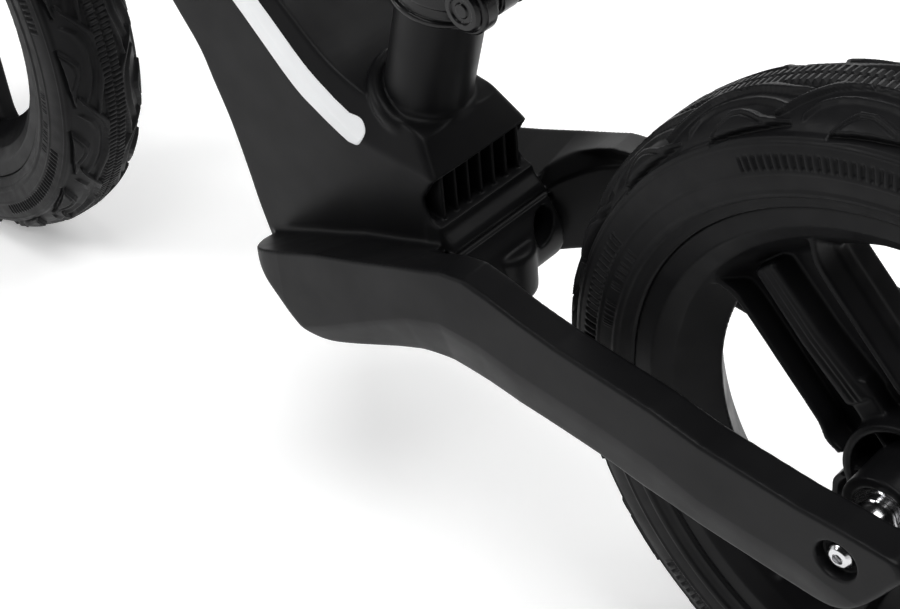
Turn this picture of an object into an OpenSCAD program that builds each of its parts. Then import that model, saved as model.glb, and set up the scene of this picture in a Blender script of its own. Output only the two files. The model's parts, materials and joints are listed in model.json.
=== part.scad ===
// Balance bike: a one-piece cast frame with footrests, two 12 inch three-spoke wheels,
// a height-adjustable saddle and a height-adjustable handlebar. Millimetres, +X is forward,
// +Y is the rider's left, +Z is up. The origin is on the ground at the middle of the wheelbase.

/* [Wheels] */
// Distance between the two axles
wheelbase = 602; // [590:1:615]
// Outside diameter of both tyres
tyre_d = 300; // [298:1:302]
// Width of both tyres
tyre_w = 54; // [50:1:56]
// Half the distance between the outer faces of the two wheel bearings
bearing_out = 31; // [30:0.5:33]
// Direction of the first spoke of the rear wheel, from forward towards up
rear_spoke_angle = 46.5; // [0:0.5:119]
// Direction of the first spoke of the front wheel, from forward towards up
front_spoke_angle = 28.5; // [0:0.5:119]

/* [Frame] */
// Distance from the centre plane to the inner face of a stay or a fork blade
stay_in = 43; // [42:0.5:45]
// Distance from the centre plane to the outer face of a stay or a fork blade
stay_out = 58; // [56:0.5:60]
// Half the width of the main beam below its shoulders
beam_half = 28; // [26:1:30]
// Half the width of the top of the main beam
crest_half = 18; // [15:1:20]
// Outside diameter of the seat tube
seat_tube_d = 35.5; // [34:0.5:38]
// Lean of the seat tube from vertical, towards the back
seat_lean = 15.9; // [14:0.1:18]

/* [Steering] */
// Lean of the steering axis from vertical, towards the back
head_lean = 22; // [20:0.5:24]
// Distance from the steering axis forward to the front axle
fork_rake = 25; // [20:1:30]
// Outside diameter of the head tube
head_tube_d = 49; // [47:1:52]
// Outside diameter of the handlebar tube
bar_d = 22.2; // [22:0.1:22.4]

/* [Saddle] */
// Outside diameter of the seat post
seat_post_d = 27.2; // [26:0.1:28]
// Length of the saddle
saddle_l = 222; // [200:1:240]
// Greatest width of the saddle
saddle_w = 128; // [110:1:140]

/* [Hidden] */
$fn = 64;

black = "#1c1c1e";
rubber = "#26262a";
steel = "#c9ccd0";
white = "#e6e7e8";

axle_z = tyre_d / 2;
rear_x = -wheelbase / 2;
front_x = wheelbase / 2;

// Running clearance of the two sliding posts, on the radius
slide_gap = 0.05;

// Wheel sections, as radii and half widths
rim_r = 113;
rim_half = 20.7;
throat_r = 88;
well_r = 97;
seat_r = 102.5;
bead_in = 10.6;
bead_out = 17.8;
drum_r = 25.7;
drum_half = 15;
barrel_r = 15.5;
spoke_half = 23;
spoke_flange = 3.5;
spoke_y = 12;
spoke_web = 5;
tube_half = 22;
rear_valve_angle = rear_spoke_angle + 180;
front_valve_angle = front_spoke_angle + 300;

// Wheel bearing, 8 x 22 x 7
race_bore = 4.02;
race_r = 11;
race_w = 7;
race_inner_r = 6.05;
race_outer_r = 9.6;
ball_r = 1.985;
ball_pitch = 7.78;
groove_r = 2.03;
ball_count = 7;
axle_r = 3.98;
bolt_r = 3;
bolt_head_r = 6;
recess_r = 8;
recess_depth = 5.5;

// Steering axis: positions along it are counted from the foot of the front axle's perpendicular
steer_x = front_x - fork_rake * cos(head_lean);
steer_z = axle_z - fork_rake * sin(head_lean);
crown_lo = 160;
crown_hi = 186;
head_lo = 192;
head_hi = 267;
pocket_r = 20.5;
pocket_depth = 7;
steerer_r = 14.3;
stem_r = 12.7;
cover_hi = 274;
spacer_hi = 283;
collar_hi = 308;
bar_n = 24;
bar_s = 438;

// Seat axis: positions along it are counted from its foot inside the frame
seat_x = -65;
seat_z = 200;
seat_tube_top = 101;
seat_collar_lo = 67;
seat_collar_hi = 101;
seat_collar_r = 22;
skewer_back = 27;
skewer_s = 89;
post_lo = 18;
post_hi = 140;
saddle_x = -108;
saddle_z = 347;

// Outline of the frame's main beam in side view, from the footrests to the head tube
beam_front = [[11, 123], [20, 156], [33, 196], [52, 229], [85, 262], [130, 290], [198, 322]];
beam_fold = [[163, 366], [110, 332], [60, 298], [10, 256], [-22, 220], [-45, 205], [-58, 201], [-92, 196]];
beam_crest = [[174, 388], [115, 352], [55, 315], [8, 279], [-24, 250], [-48, 232], [-66, 222], [-103, 217]];
beam_back = [[-97, 170], [-97, 132], [-84, 116], [-44, 107], [-12, 112]];
strip_low = [[10, 243], [-7, 226], [-19, 215], [-33, 206], [-45, 200], [-58, 201]];
strip_high = [[-60, 207], [-46, 216], [-31, 226], [-20, 235], [-8, 247]];
strip_front = [[60, 288], [110, 322], [160, 357], [155, 365], [105, 331], [55, 298]];

// Outline of a stay, and of the foot of a footrest on the beam and at its outer edge
stay_top = [[-324, 163], [-302, 164.5], [-245, 169], [-204, 176], [-164, 182.5], [-137, 188.5],
            [-118, 184], [-92, 174]];
stay_foot = [[-92, 122], [-127, 138], [-198, 133], [-241, 127], [-282, 123]];
rest_inner = [[11, 123], [-36, 144], [-92, 168], [-118, 168], [-118, 138], [-92, 122], [-40, 108], [-4, 111]];
rest_outer = [[-20, 147], [-35, 154], [-78, 170], [-118, 184], [-118, 138], [-104, 127], [-61, 111],
              [-44, 107], [-25, 112], [-9, 132]];
dropout_r = 27;
yoke_x = -97;
yoke_z = 148;
yoke_r = 17;

module plate(y0, y1) {
    translate([0, y1, 0]) rotate([90, 0, 0]) linear_extrude(y1 - y0) children();
}

module both_sides() {
    children();
    mirror([0, 1, 0]) children();
}

module on_axle(x) {
    translate([x, 0, axle_z]) rotate([-90, 0, 0]) children();
}

module on_steering() {
    translate([steer_x, 0, steer_z]) rotate([0, -head_lean, 0]) children();
}

module on_seat_axis() {
    translate([seat_x, 0, seat_z]) rotate([0, -seat_lean, 0]) children();
}

module ring(r_out, r_in, h0, h1) {
    difference() {
        translate([0, 0, h0]) cylinder(r = r_out, h = h1 - h0);
        translate([0, 0, h0 - 1]) cylinder(r = r_in, h = h1 - h0 + 2);
    }
}

module along_y(x, z, r, y0, y1) {
    translate([x, y0, z]) rotate([-90, 0, 0]) cylinder(r = r, h = y1 - y0);
}

// A closed oval of half height a and half width b, squarer than an ellipse
function oval(r, a, b, squareness = 2.6, steps = 40) = [for (i = [0:steps - 1])
    let (c = cos(360 * i / steps), s = sin(360 * i / steps))
    [r + a * sign(c) * pow(abs(c), 2 / squareness), b * sign(s) * pow(abs(s), 2 / squareness)]];

// ---- frame ----

// One facet of the beam's shoulder, between the fold and the crest, on both sides at once
module shoulder(fold_a, fold_b, crest_a, crest_b) {
    hull() {
        plate(-beam_half, beam_half) polygon([fold_a, fold_b, fold_b - [0, 1], fold_a - [0, 1]]);
        plate(-crest_half, crest_half) polygon([crest_a, crest_b, crest_b - [0, 1], crest_a - [0, 1]]);
    }
}

module beam() {
    plate(-beam_half, beam_half) polygon(concat(beam_front, beam_fold, beam_back));
    plate(-crest_half, crest_half) polygon(concat(beam_fold, [for (i = [7:-1:0]) beam_crest[i]]));
    shoulder(beam_fold[0], beam_fold[2], beam_crest[0], beam_crest[2]);
    shoulder(beam_fold[2], beam_fold[4], beam_crest[2], beam_crest[4]);
    shoulder(beam_fold[4], beam_fold[7], beam_crest[4], beam_crest[7]);
}

module footrest() {
    hull() {
        plate(beam_half - 1, beam_half) polygon(rest_inner);
        plate(stay_out - 2, stay_out) polygon(rest_outer);
    }
}

module stay() {
    plate(stay_in, stay_out) {
        polygon(concat(stay_top, stay_foot));
        translate([rear_x, axle_z]) intersection() {
            circle(r = dropout_r);
            translate([-dropout_r, -dropout_r]) square([2 * dropout_r, dropout_r + 14]);
        }
    }
}

module axle_bore(x) {
    along_y(x, axle_z, bolt_r + 0.3, -stay_out - 1, stay_out + 1);
    both_sides() along_y(x, axle_z, recess_r, stay_out - recess_depth, stay_out + 1);
}

module frame() {
    color(black) difference() {
        union() {
            beam();
            both_sides() {
                footrest();
                stay();
            }
            along_y(yoke_x, yoke_z, yoke_r, -stay_in - 1, stay_in + 1);
            translate([yoke_x - 10, 0, yoke_z - 22]) cylinder(r = 14, h = 30);
            on_seat_axis() translate([0, 0, -14]) cylinder(d = seat_tube_d, h = seat_tube_top + 14);
            on_seat_axis() translate([0, 0, -4]) cylinder(r = 23, h = 26);
            on_steering() translate([0, 0, head_lo]) cylinder(d = head_tube_d, h = head_hi - head_lo);
        }
        on_seat_axis() translate([0, 0, 4]) cylinder(r = seat_post_d / 2 + slide_gap, h = seat_tube_top);
        on_seat_axis() translate([-40, -1.5, seat_collar_lo - 12]) cube([34, 3, 60]);
        on_steering() {
            translate([0, 0, head_lo - 20]) cylinder(r = 17.5, h = head_hi - head_lo + 40);
            translate([0, 0, head_lo - 30]) cylinder(r = pocket_r, h = 30 + pocket_depth);
            translate([0, 0, head_hi - pocket_depth]) cylinder(r = pocket_r, h = 30 + pocket_depth);
        }
        translate([-104, -beam_half + 1.5, 168]) cube([14, 2 * beam_half - 3, 30]);
        axle_bore(rear_x);
        strip_pocket(0.2);
        mirror([0, 1, 0]) strip_pocket(0.2);
    }
    color(black) for (i = [-3:3])
        translate([-97, i * 7.3 - 1, 168]) cube([8, 2, 30]);
}

// The groove for a light strip, and the strip itself when there is no clearance
module strip_pocket(gap) {
    plate(beam_half - 2.5, beam_half + gap) polygon(concat(strip_low, strip_high, strip_front_end()));
}

function strip_front_end() = [strip_front[5], strip_front[4], strip_front[3], strip_front[2],
                              strip_front[1], strip_front[0]];

module left_light_strip() {
    color(white) plate(beam_half - 2.4, beam_half)
        offset(delta = -0.15) polygon(concat(strip_low, strip_high, strip_front_end()));
}

module right_light_strip() {
    mirror([0, 1, 0]) left_light_strip();
}

// ---- wheels ----

module axle_shaft(x) {
    color(steel) on_axle(x) difference() {
        translate([0, 0, -stay_in]) cylinder(r = axle_r, h = 2 * stay_in);
        for (end = [-stay_in - 1, stay_in - 20]) translate([0, 0, end]) cylinder(r = bolt_r + 0.02, h = 21);
    }
}

module axle_bolts(x) {
    head = stay_out - recess_depth;
    color(steel) both_sides() on_axle(x) difference() {
        union() {
            translate([0, 0, head - 24]) cylinder(r = bolt_r, h = 24.5);
            intersection() {
                translate([0, 0, head]) cylinder(r = bolt_head_r, h = 3.6);
                translate([0, 0, head - 4.6]) sphere(r = 8.2);
            }
        }
        translate([0, 0, head + 1.4]) cylinder(r = 2.3, h = 5, $fn = 6);
    }
}

module axle_spacers(x) {
    color(steel) both_sides() on_axle(x) {
        ring(race_inner_r, axle_r + 0.02, bearing_out, bearing_out + 2);
        ring(8, axle_r + 0.02, bearing_out + 2, stay_in);
    }
}

module bearing_groove() {
    rotate_extrude() translate([ball_pitch, 0]) circle(r = groove_r);
}

module both_bearings(x) {
    both_sides() on_axle(x) translate([0, 0, bearing_out - race_w / 2]) children();
}

module inner_races(x) {
    color(steel) both_bearings(x) difference() {
        ring(race_inner_r, race_bore, -race_w / 2, race_w / 2);
        bearing_groove();
    }
}

module outer_races(x) {
    color(steel) both_bearings(x) difference() {
        ring(race_r, race_outer_r, -race_w / 2, race_w / 2);
        bearing_groove();
    }
}

module bearing_balls(x) {
    color(steel) both_bearings(x) for (i = [1:ball_count])
        rotate([0, 0, 360 * i / ball_count]) translate([ball_pitch, 0, 0]) sphere(r = ball_r, $fn = 24);
}

module bearing_shields(x) {
    color("#5a5d61") both_bearings(x) for (side = [-1, 1])
        translate([0, 0, side * (race_w / 2 - 0.9)]) ring(race_outer_r, race_inner_r + 0.3, -0.25, 0.25);
}

module hub_sleeve(x) {
    color(steel) on_axle(x) ring(5.6, race_bore, race_w - bearing_out, bearing_out - race_w);
}

module rim_section() {
    half = [[throat_r, 0], [99, 15], [105.5, 20], [rim_r, rim_half], [rim_r, 18], [seat_r + 2.5, 17.4],
            [seat_r, 16], [seat_r, bead_in - 0.4], [well_r, 8], [well_r, 0]];
    polygon(half);
    mirror([0, 1]) polygon(half);
}

module spoke() {
    length = 96 - drum_r + 4;
    translate([drum_r - 4, 0, 0]) {
        translate([0, -spoke_half, -spoke_web / 2]) cube([length, 2 * spoke_half, spoke_web]);
        for (edge = [-spoke_half, spoke_half - spoke_flange])
            translate([0, edge, -spoke_y]) cube([length, spoke_flange, 2 * spoke_y]);
        translate([0, -6, -8]) cube([length, 12, 16]);
    }
}

module hub_shell() {
    ring(drum_r, 22.4, -drum_half, drum_half);
    ring(drum_r - 1, barrel_r - 1, -spoke_web / 2, spoke_web / 2);
    ring(barrel_r, 9.5, race_w - bearing_out, bearing_out - race_w);
    both_ends() ring(barrel_r, race_r, bearing_out - race_w - 0.01, bearing_out + 0.3);
    for (i = [0:5]) rotate([0, 0, 60 * i + 30]) translate([barrel_r - 1, -1.5, -12]) cube([8.5, 3, 24]);
}

module both_ends() {
    children();
    mirror([0, 0, 1]) children();
}

module wheel_casting(x, spoke_angle, valve_angle) {
    color(black) on_axle(x) difference() {
        union() {
            rotate_extrude($fn = 128) rim_section();
            difference() {
                for (i = [0:2]) rotate([0, 0, 120 * i - spoke_angle]) spoke();
                translate([0, 0, -30]) cylinder(r = drum_r - 2, h = 60);
            }
            hub_shell();
        }
        rotate([0, 0, -valve_angle]) translate([throat_r - 6, 0, 0]) rotate([0, 90, 0])
            cylinder(r = 3.2, h = 20);
    }
}

// One side of the tyre's foot in the rim, from its wall inwards, a little clear of the rim
bead_half = [[rim_r + 0.2, 24.4], [rim_r + 0.2, bead_out], [seat_r + 2.6, bead_out - 0.6],
             [seat_r + 0.1, bead_out - 2.1], [seat_r + 0.1, bead_in], [rim_r + 3, bead_in]];

module tyre(x) {
    r_mid = tyre_d / 2 - 23.5;
    above_rim = [for (p = oval(r_mid, 23.5, tyre_w / 2)) if (p[0] > rim_r + 0.2) p];
    color(rubber) on_axle(x) rotate_extrude($fn = 128) difference() {
        polygon(concat([for (p = above_rim) if (p[1] >= 0) p], bead_half,
                       [for (i = [5:-1:0]) [bead_half[i][0], -bead_half[i][1]]],
                       [for (p = above_rim) if (p[1] < 0) p]));
        polygon(oval(r_mid + 1, 15, tube_half + 0.3));
    }
}

module inner_tube(x) {
    r_mid = tyre_d / 2 - 22.5;
    color(rubber) on_axle(x) rotate_extrude($fn = 128) difference() {
        polygon(oval(r_mid, 14.7, tube_half));
        polygon(oval(r_mid, 13.2, tube_half - 1.5));
    }
}

module on_valve(x, valve_angle) {
    on_axle(x) rotate([0, 0, -valve_angle]) rotate([0, 90, 0]) children();
}

module valve(x, valve_angle) {
    color("#8d8f92") on_valve(x, valve_angle) {
        translate([0, 0, 72]) cylinder(r = 2.6, h = 8);
        translate([0, 0, 80]) cylinder(r = 3, h = 33.3);
    }
}

module valve_cap(x, valve_angle) {
    color(black) on_valve(x, valve_angle) difference() {
        translate([0, 0, 69.5]) cylinder(r = 3.9, h = 9);
        translate([0, 0, 71.5]) cylinder(r = 2.7, h = 9);
    }
}

module rear_axle() { axle_shaft(rear_x); }
module rear_axle_bolts() { axle_bolts(rear_x); }
module rear_axle_spacers() { axle_spacers(rear_x); }
module rear_bearing_inner_races() { inner_races(rear_x); }
module rear_hub_sleeve() { hub_sleeve(rear_x); }
module rear_bearing_outer_races() { outer_races(rear_x); }
module rear_bearing_balls() { bearing_balls(rear_x); }
module rear_bearing_shields() { bearing_shields(rear_x); }
module rear_wheel() { wheel_casting(rear_x, rear_spoke_angle, rear_valve_angle); }
module rear_tyre() { tyre(rear_x); }
module rear_inner_tube() { inner_tube(rear_x); }
module rear_valve() { valve(rear_x, rear_valve_angle); }
module rear_valve_cap() { valve_cap(rear_x, rear_valve_angle); }
module front_axle() { axle_shaft(front_x); }
module front_axle_bolts() { axle_bolts(front_x); }
module front_axle_spacers() { axle_spacers(front_x); }
module front_bearing_inner_races() { inner_races(front_x); }
module front_hub_sleeve() { hub_sleeve(front_x); }
module front_bearing_outer_races() { outer_races(front_x); }
module front_bearing_balls() { bearing_balls(front_x); }
module front_bearing_shields() { bearing_shields(front_x); }
module front_wheel() { wheel_casting(front_x, front_spoke_angle, front_valve_angle); }
module front_tyre() { tyre(front_x); }
module front_inner_tube() { inner_tube(front_x); }
module front_valve() { valve(front_x, front_valve_angle); }
module front_valve_cap() { valve_cap(front_x, front_valve_angle); }

// ---- fork and headset ----

module fork_blade() {
    plate(stay_in, stay_out) {
        polygon([[-18, crown_lo], [-16, crown_hi], [16, crown_hi], [19, 140], [24, 90], [fork_rake + 13, 10],
                 [fork_rake + 13, -4], [fork_rake - 13, -4], [4, 60], [-8, 110]]);
        translate([fork_rake, 0]) circle(r = 14);
    }
}

module fork() {
    color(black) difference() {
        on_steering() {
            both_sides() fork_blade();
            translate([-18, -stay_out, crown_lo]) cube([34, 2 * stay_out, crown_hi - crown_lo]);
        }
        on_steering() translate([0, 0, crown_lo - 1]) cylinder(r = steerer_r, h = 40);
        axle_bore(front_x);
    }
}

module steerer_tube() {
    color(steel) on_steering() ring(steerer_r, stem_r + slide_gap, crown_lo, collar_hi);
}

module crown_race() {
    color(steel) on_steering() {
        ring(20, steerer_r + 0.02, crown_hi, head_lo - 0.5);
        ring(17.2, steerer_r + 0.02, head_lo - 0.5, head_lo);
    }
}

module both_headset_bearings() {
    on_steering() for (s = [head_lo + pocket_depth / 2, head_hi - pocket_depth / 2])
        translate([0, 0, s]) children();
}

module headset_groove() {
    rotate_extrude() translate([17.8, 0]) circle(r = 1.65);
}

module headset_outer_races() {
    color(steel) both_headset_bearings() difference() {
        ring(pocket_r, 18.3, -pocket_depth / 2, pocket_depth / 2);
        headset_groove();
    }
}

module headset_inner_races() {
    color(steel) both_headset_bearings() difference() {
        ring(17.3, steerer_r + 0.02, -pocket_depth / 2, pocket_depth / 2);
        headset_groove();
    }
}

module headset_balls() {
    color(steel) both_headset_bearings() for (i = [1:16])
        rotate([0, 0, 22.5 * i]) translate([17.8, 0, 0]) sphere(r = 1.6, $fn = 24);
}

module headset_cover() {
    color(black) on_steering() {
        ring(17.2, steerer_r + 0.02, head_hi, head_hi + 0.6);
        ring(24, steerer_r + 0.02, head_hi + 0.6, cover_hi);
    }
}

module steerer_spacer() {
    color(black) on_steering() ring(19, steerer_r + 0.02, cover_hi, spacer_hi);
}

module handlebar_clamp() {
    mid = (spacer_hi + collar_hi) / 2;
    color(black) on_steering() difference() {
        union() {
            ring(19.5, steerer_r + 0.02, spacer_hi, collar_hi);
            translate([-31, -9, spacer_hi + 3]) cube([15, 18, collar_hi - spacer_hi - 6]);
        }
        translate([-35, -1.25, spacer_hi - 1]) cube([24, 2.5, 40]);
        translate([0, 0, spacer_hi - 1]) cylinder(r = steerer_r + 0.02, h = 40);
        translate([-25, -20, mid]) rotate([-90, 0, 0]) cylinder(r = 2.6, h = 40);
    }
}

module handlebar_clamp_bolt() {
    mid = (spacer_hi + collar_hi) / 2;
    color(steel) on_steering() translate([-25, 0, mid]) rotate([-90, 0, 0]) difference() {
        union() {
            translate([0, 0, -12]) cylinder(r = 2.5, h = 22);
            translate([0, 0, 9]) cylinder(r = 4.3, h = 5);
            translate([0, 0, -13]) cylinder(r = 4.6, h = 4, $fn = 6);
        }
        translate([0, 0, 11]) cylinder(r = 2.3, h = 5, $fn = 6);
    }
}

// ---- handlebar ----

module handlebar_stem() {
    color(black) on_steering() difference() {
        union() {
            translate([0, 0, head_lo + 6]) cylinder(r = stem_r, h = bar_s - head_lo - 14);
            translate([0, 0, bar_s - 34]) cylinder(r = 16, h = 36);
            translate([-8, -19, bar_s - 21]) cube([bar_n + 8, 38, 42]);
        }
        translate([0, 0, head_lo]) cylinder(r = stem_r - 2.2, h = bar_s - head_lo - 22);
        along_y(bar_n, bar_s, bar_d / 2, -30, 30);
        stem_bolt_places() translate([0, 0, -20]) cylinder(r = 2.55, h = 30);
    }
}

module stem_bolt_places() {
    for (s = [-16, 16], y = [-13, 13]) translate([bar_n, y, bar_s + s]) rotate([0, 90, 0]) children();
}

module stem_face_plate() {
    color(black) on_steering() difference() {
        translate([bar_n + 0.6, -19, bar_s - 21]) cube([14, 38, 42]);
        along_y(bar_n, bar_s, bar_d / 2, -30, 30);
        stem_bolt_places() translate([0, 0, -1]) cylinder(r = 2.65, h = 30);
        stem_bolt_places() translate([0, 0, 10]) cylinder(r = 4.6, h = 30);
    }
}

module stem_bolts() {
    color(steel) on_steering() stem_bolt_places() difference() {
        union() {
            translate([0, 0, -16]) cylinder(r = 2.5, h = 27);
            translate([0, 0, 10]) cylinder(r = 4.3, h = 5);
        }
        translate([0, 0, 12]) cylinder(r = 2.1, h = 5, $fn = 6);
    }
}

// Lengths of the bar's straight stretches, and its two bends on each side
bar_centre = 38;
bar_bend_r = 45;
bar_rise = 32;
bar_slope = 34;
bar_grip = 102;
bar_sweep = 12;
joint_lap = 0.6;
// A bend in the tube is a little thinner than its straight stretches
bend_thin = 0.08;
grip_l = 98;

module straight(r, l) {
    translate([0, 0, -joint_lap]) cylinder(r = r, h = l + 2 * joint_lap);
    translate([0, 0, l]) children();
}

module bend(r, angle) {
    translate([bar_bend_r, 0, 0]) rotate([90, 0, 180])
        rotate_extrude(angle = angle) translate([bar_bend_r, 0]) circle(r = r - bend_thin);
    translate([bar_bend_r * (1 - cos(angle)), 0, bar_bend_r * sin(angle)]) rotate([0, angle, 0]) children();
}

// Goes out from the centre along +Y, up and back, then level again to the grip
module bar_path(r, l) {
    rotate([-90, 0, 0]) rotate([0, 0, -90 - bar_sweep])
        straight(r, bar_centre) bend(r, bar_slope) straight(r, bar_rise)
        rotate([0, 0, 180]) bend(r, bar_slope) rotate([0, 0, 180]) straight(r, l) children();
}

module on_bar() {
    on_steering() translate([bar_n, 0, bar_s]) rotate([0, head_lean, 0]) children();
}

module handlebar() {
    color(black) on_bar() difference() {
        both_sides() bar_path(bar_d / 2, bar_grip);
        both_sides() bar_path(bar_d / 2 - 2, bar_grip + 1);
    }
}

module grip_place() {
    on_bar() bar_end(bar_grip) children();
}

module bar_end(l) {
    rotate([-90, 0, 0]) rotate([0, 0, -90 - bar_sweep])
        skip_straight(bar_centre) skip_bend(bar_slope) skip_straight(bar_rise)
        rotate([0, 0, 180]) skip_bend(bar_slope) rotate([0, 0, 180]) skip_straight(l) children();
}

module skip_straight(l) {
    translate([0, 0, l]) children();
}

module skip_bend(angle) {
    translate([bar_bend_r * (1 - cos(angle)), 0, bar_bend_r * sin(angle)]) rotate([0, angle, 0]) children();
}

module left_grip() {
    color(rubber) grip_place() {
        ring(14.5, bar_d / 2 + 0.02, -grip_l, -2);
        ring(21, bar_d / 2 + 0.02, -grip_l - 3, -grip_l);
        ring(16, bar_d / 2 + 0.02, -2, 1);
        translate([0, 0, 1]) cylinder(r = 16, h = 4);
    }
}

module right_grip() {
    mirror([0, 1, 0]) left_grip();
}

module bar_end_plugs() {
    color(black) both_sides() grip_place() translate([0, 0, -12]) cylinder(r = bar_d / 2 - 2.1, h = 12.5);
}

// ---- saddle ----

module seat_clamp() {
    color(black) on_seat_axis() difference() {
        union() {
            translate([0, 0, seat_collar_lo]) cylinder(r = seat_collar_r, h = 2.5);
            translate([0, 0, seat_collar_lo]) cylinder(r = seat_collar_r - 1.5, h = seat_collar_hi - seat_collar_lo);
            translate([0, 0, seat_collar_lo + 8]) cylinder(r = seat_collar_r, h = seat_collar_hi - seat_collar_lo - 8);
            translate([-skewer_back - 7, -11, skewer_s - 8]) cube([20, 22, 16]);
        }
        translate([0, 0, seat_collar_lo - 1]) cylinder(r = seat_tube_d / 2 + 0.02, h = 60);
        translate([-50, -1.5, seat_collar_lo - 1]) cube([40, 3, 60]);
        along_y(-skewer_back, skewer_s, 2.8, -20, 20);
    }
}

module seat_clamp_skewer() {
    color(steel) on_seat_axis() difference() {
        union() {
            along_y(-skewer_back, skewer_s, 2.5, cam_y + 2.9, 24);
            translate([-skewer_back, cam_y, skewer_s - 2.65]) cylinder(r = 4, h = 5.3);
        }
        translate([-skewer_back, cam_y, skewer_s - 5]) cylinder(r = cam_pin_r + slide_gap, h = 10);
    }
}

module seat_clamp_nut() {
    color(black) on_seat_axis() difference() {
        union() {
            along_y(-skewer_back, skewer_s, 10.5, 15, 22);
            along_y(-skewer_back, skewer_s, 7, 11.1, 15);
            along_y(-skewer_back, skewer_s, 8.6, 22, 24);
        }
        along_y(-skewer_back, skewer_s, 2.52, 0, 30);
    }
}

module seat_clamp_cam_washer() {
    color(black) on_seat_axis() difference() {
        along_y(-skewer_back, skewer_s, 7.5, -13.5, -11.1);
        along_y(-skewer_back, skewer_s, 2.52, -30, 0);
    }
}

// The cam's two cheeks turn with a pin that goes through the eye of the skewer, along the seat axis
cam_y = -20;
cam_pin_r = 2;

module seat_clamp_lever() {
    color(black) on_seat_axis() translate([-skewer_back, cam_y, skewer_s]) difference() {
        union() {
            translate([0, 0, -8]) cylinder(r = 6, h = 16);
            translate([3, -8, -6]) cube([49, 5, 12]);
            translate([52, -4.5, -6]) cylinder(r = 4.5, h = 12);
        }
        translate([-8, -6.9, -2.8]) cube([12.4, 14, 5.6]);
        translate([0, 0, -9]) cylinder(r = cam_pin_r + 0.02, h = 18);
    }
}

module seat_clamp_cam_pin() {
    color(steel) on_seat_axis() translate([-skewer_back, cam_y, skewer_s - 8]) cylinder(r = cam_pin_r, h = 16);
}

module seat_post() {
    color(steel) on_seat_axis() ring(seat_post_d / 2, seat_post_d / 2 - 2, post_lo, post_hi);
}

module saddle_bracket() {
    color(black) difference() {
        union() {
            on_seat_axis() translate([0, 0, post_hi - 22]) cylinder(r = seat_post_d / 2 + 4, h = 22);
            translate([saddle_x - 32, -20, saddle_z - 16]) cube([64, 40, 10]);
        }
        on_seat_axis() translate([0, 0, post_hi - 30]) cylinder(r = seat_post_d / 2, h = 30);
        saddle_screw_places() translate([0, 0, -20]) cylinder(r = 2.1, h = 30);
    }
}

module saddle_screw_places() {
    for (x = [-24, 24], y = [-13, 13]) translate([saddle_x + x, y, saddle_z - 6]) children();
}

module saddle_outline(height) {
    hull() {
        translate([saddle_x - saddle_l * 0.24, 0, 0]) both_sides()
            translate([0, saddle_w / 2 - 34, 0]) cylinder(r = 34, h = height, $fn = 32);
        translate([saddle_x + saddle_l * 0.4, 0, 0]) cylinder(r = saddle_l * 0.1, h = height, $fn = 32);
        translate([saddle_x - saddle_l * 0.36, 0, 0]) cylinder(r = saddle_l * 0.14, h = height, $fn = 32);
    }
}

module saddle_base() {
    color(black) difference() {
        translate([0, 0, saddle_z - 6]) saddle_outline(8);
        saddle_screw_places() translate([0, 0, -4]) cylinder(r = 1.6, h = 10);
    }
}

module saddle_pad() {
    color("#232326") hull() {
        translate([0, 0, saddle_z + 2]) saddle_outline(14);
        translate([saddle_x - saddle_l * 0.24, 0, saddle_z + 24]) both_sides()
            translate([0, saddle_w / 2 - 36, 0]) sphere(r = 14, $fn = 24);
        translate([saddle_x + saddle_l * 0.38, 0, saddle_z + 20]) sphere(r = 14, $fn = 24);
    }
}

module saddle_screws() {
    color(steel) saddle_screw_places() {
        translate([0, 0, -10]) cylinder(r = 1.55, h = 15);
        translate([0, 0, -13]) cylinder(r = 3.6, h = 3);
    }
}

frame();
left_light_strip();
right_light_strip();
rear_axle();
rear_axle_bolts();
rear_axle_spacers();
rear_bearing_inner_races();
rear_hub_sleeve();
rear_bearing_outer_races();
rear_bearing_balls();
rear_bearing_shields();
rear_wheel();
rear_tyre();
rear_inner_tube();
rear_valve();
rear_valve_cap();
front_axle();
front_axle_bolts();
front_axle_spacers();
front_bearing_inner_races();
front_hub_sleeve();
front_bearing_outer_races();
front_bearing_balls();
front_bearing_shields();
front_wheel();
front_tyre();
front_inner_tube();
front_valve();
front_valve_cap();
fork();
steerer_tube();
crown_race();
headset_outer_races();
headset_balls();
headset_inner_races();
headset_cover();
steerer_spacer();
handlebar_clamp();
handlebar_clamp_bolt();
handlebar_stem();
stem_face_plate();
stem_bolts();
handlebar();
left_grip();
right_grip();
bar_end_plugs();
seat_clamp();
seat_clamp_skewer();
seat_clamp_nut();
seat_clamp_cam_washer();
seat_clamp_lever();
seat_clamp_cam_pin();
seat_post();
saddle_bracket();
saddle_base();
saddle_pad();
saddle_screws();
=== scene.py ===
"""Balance bike: the looks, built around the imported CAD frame.

Cast and moulded parts are made as distance fields in millimetres, meshed with openvdb, and put
in the CAD's frame: +X forward, +Y the rider's left, +Z up, the origin on the ground.
"""

import json
import math

import bpy
import numpy as np
import openvdb
from mathutils import Matrix, Vector


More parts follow.
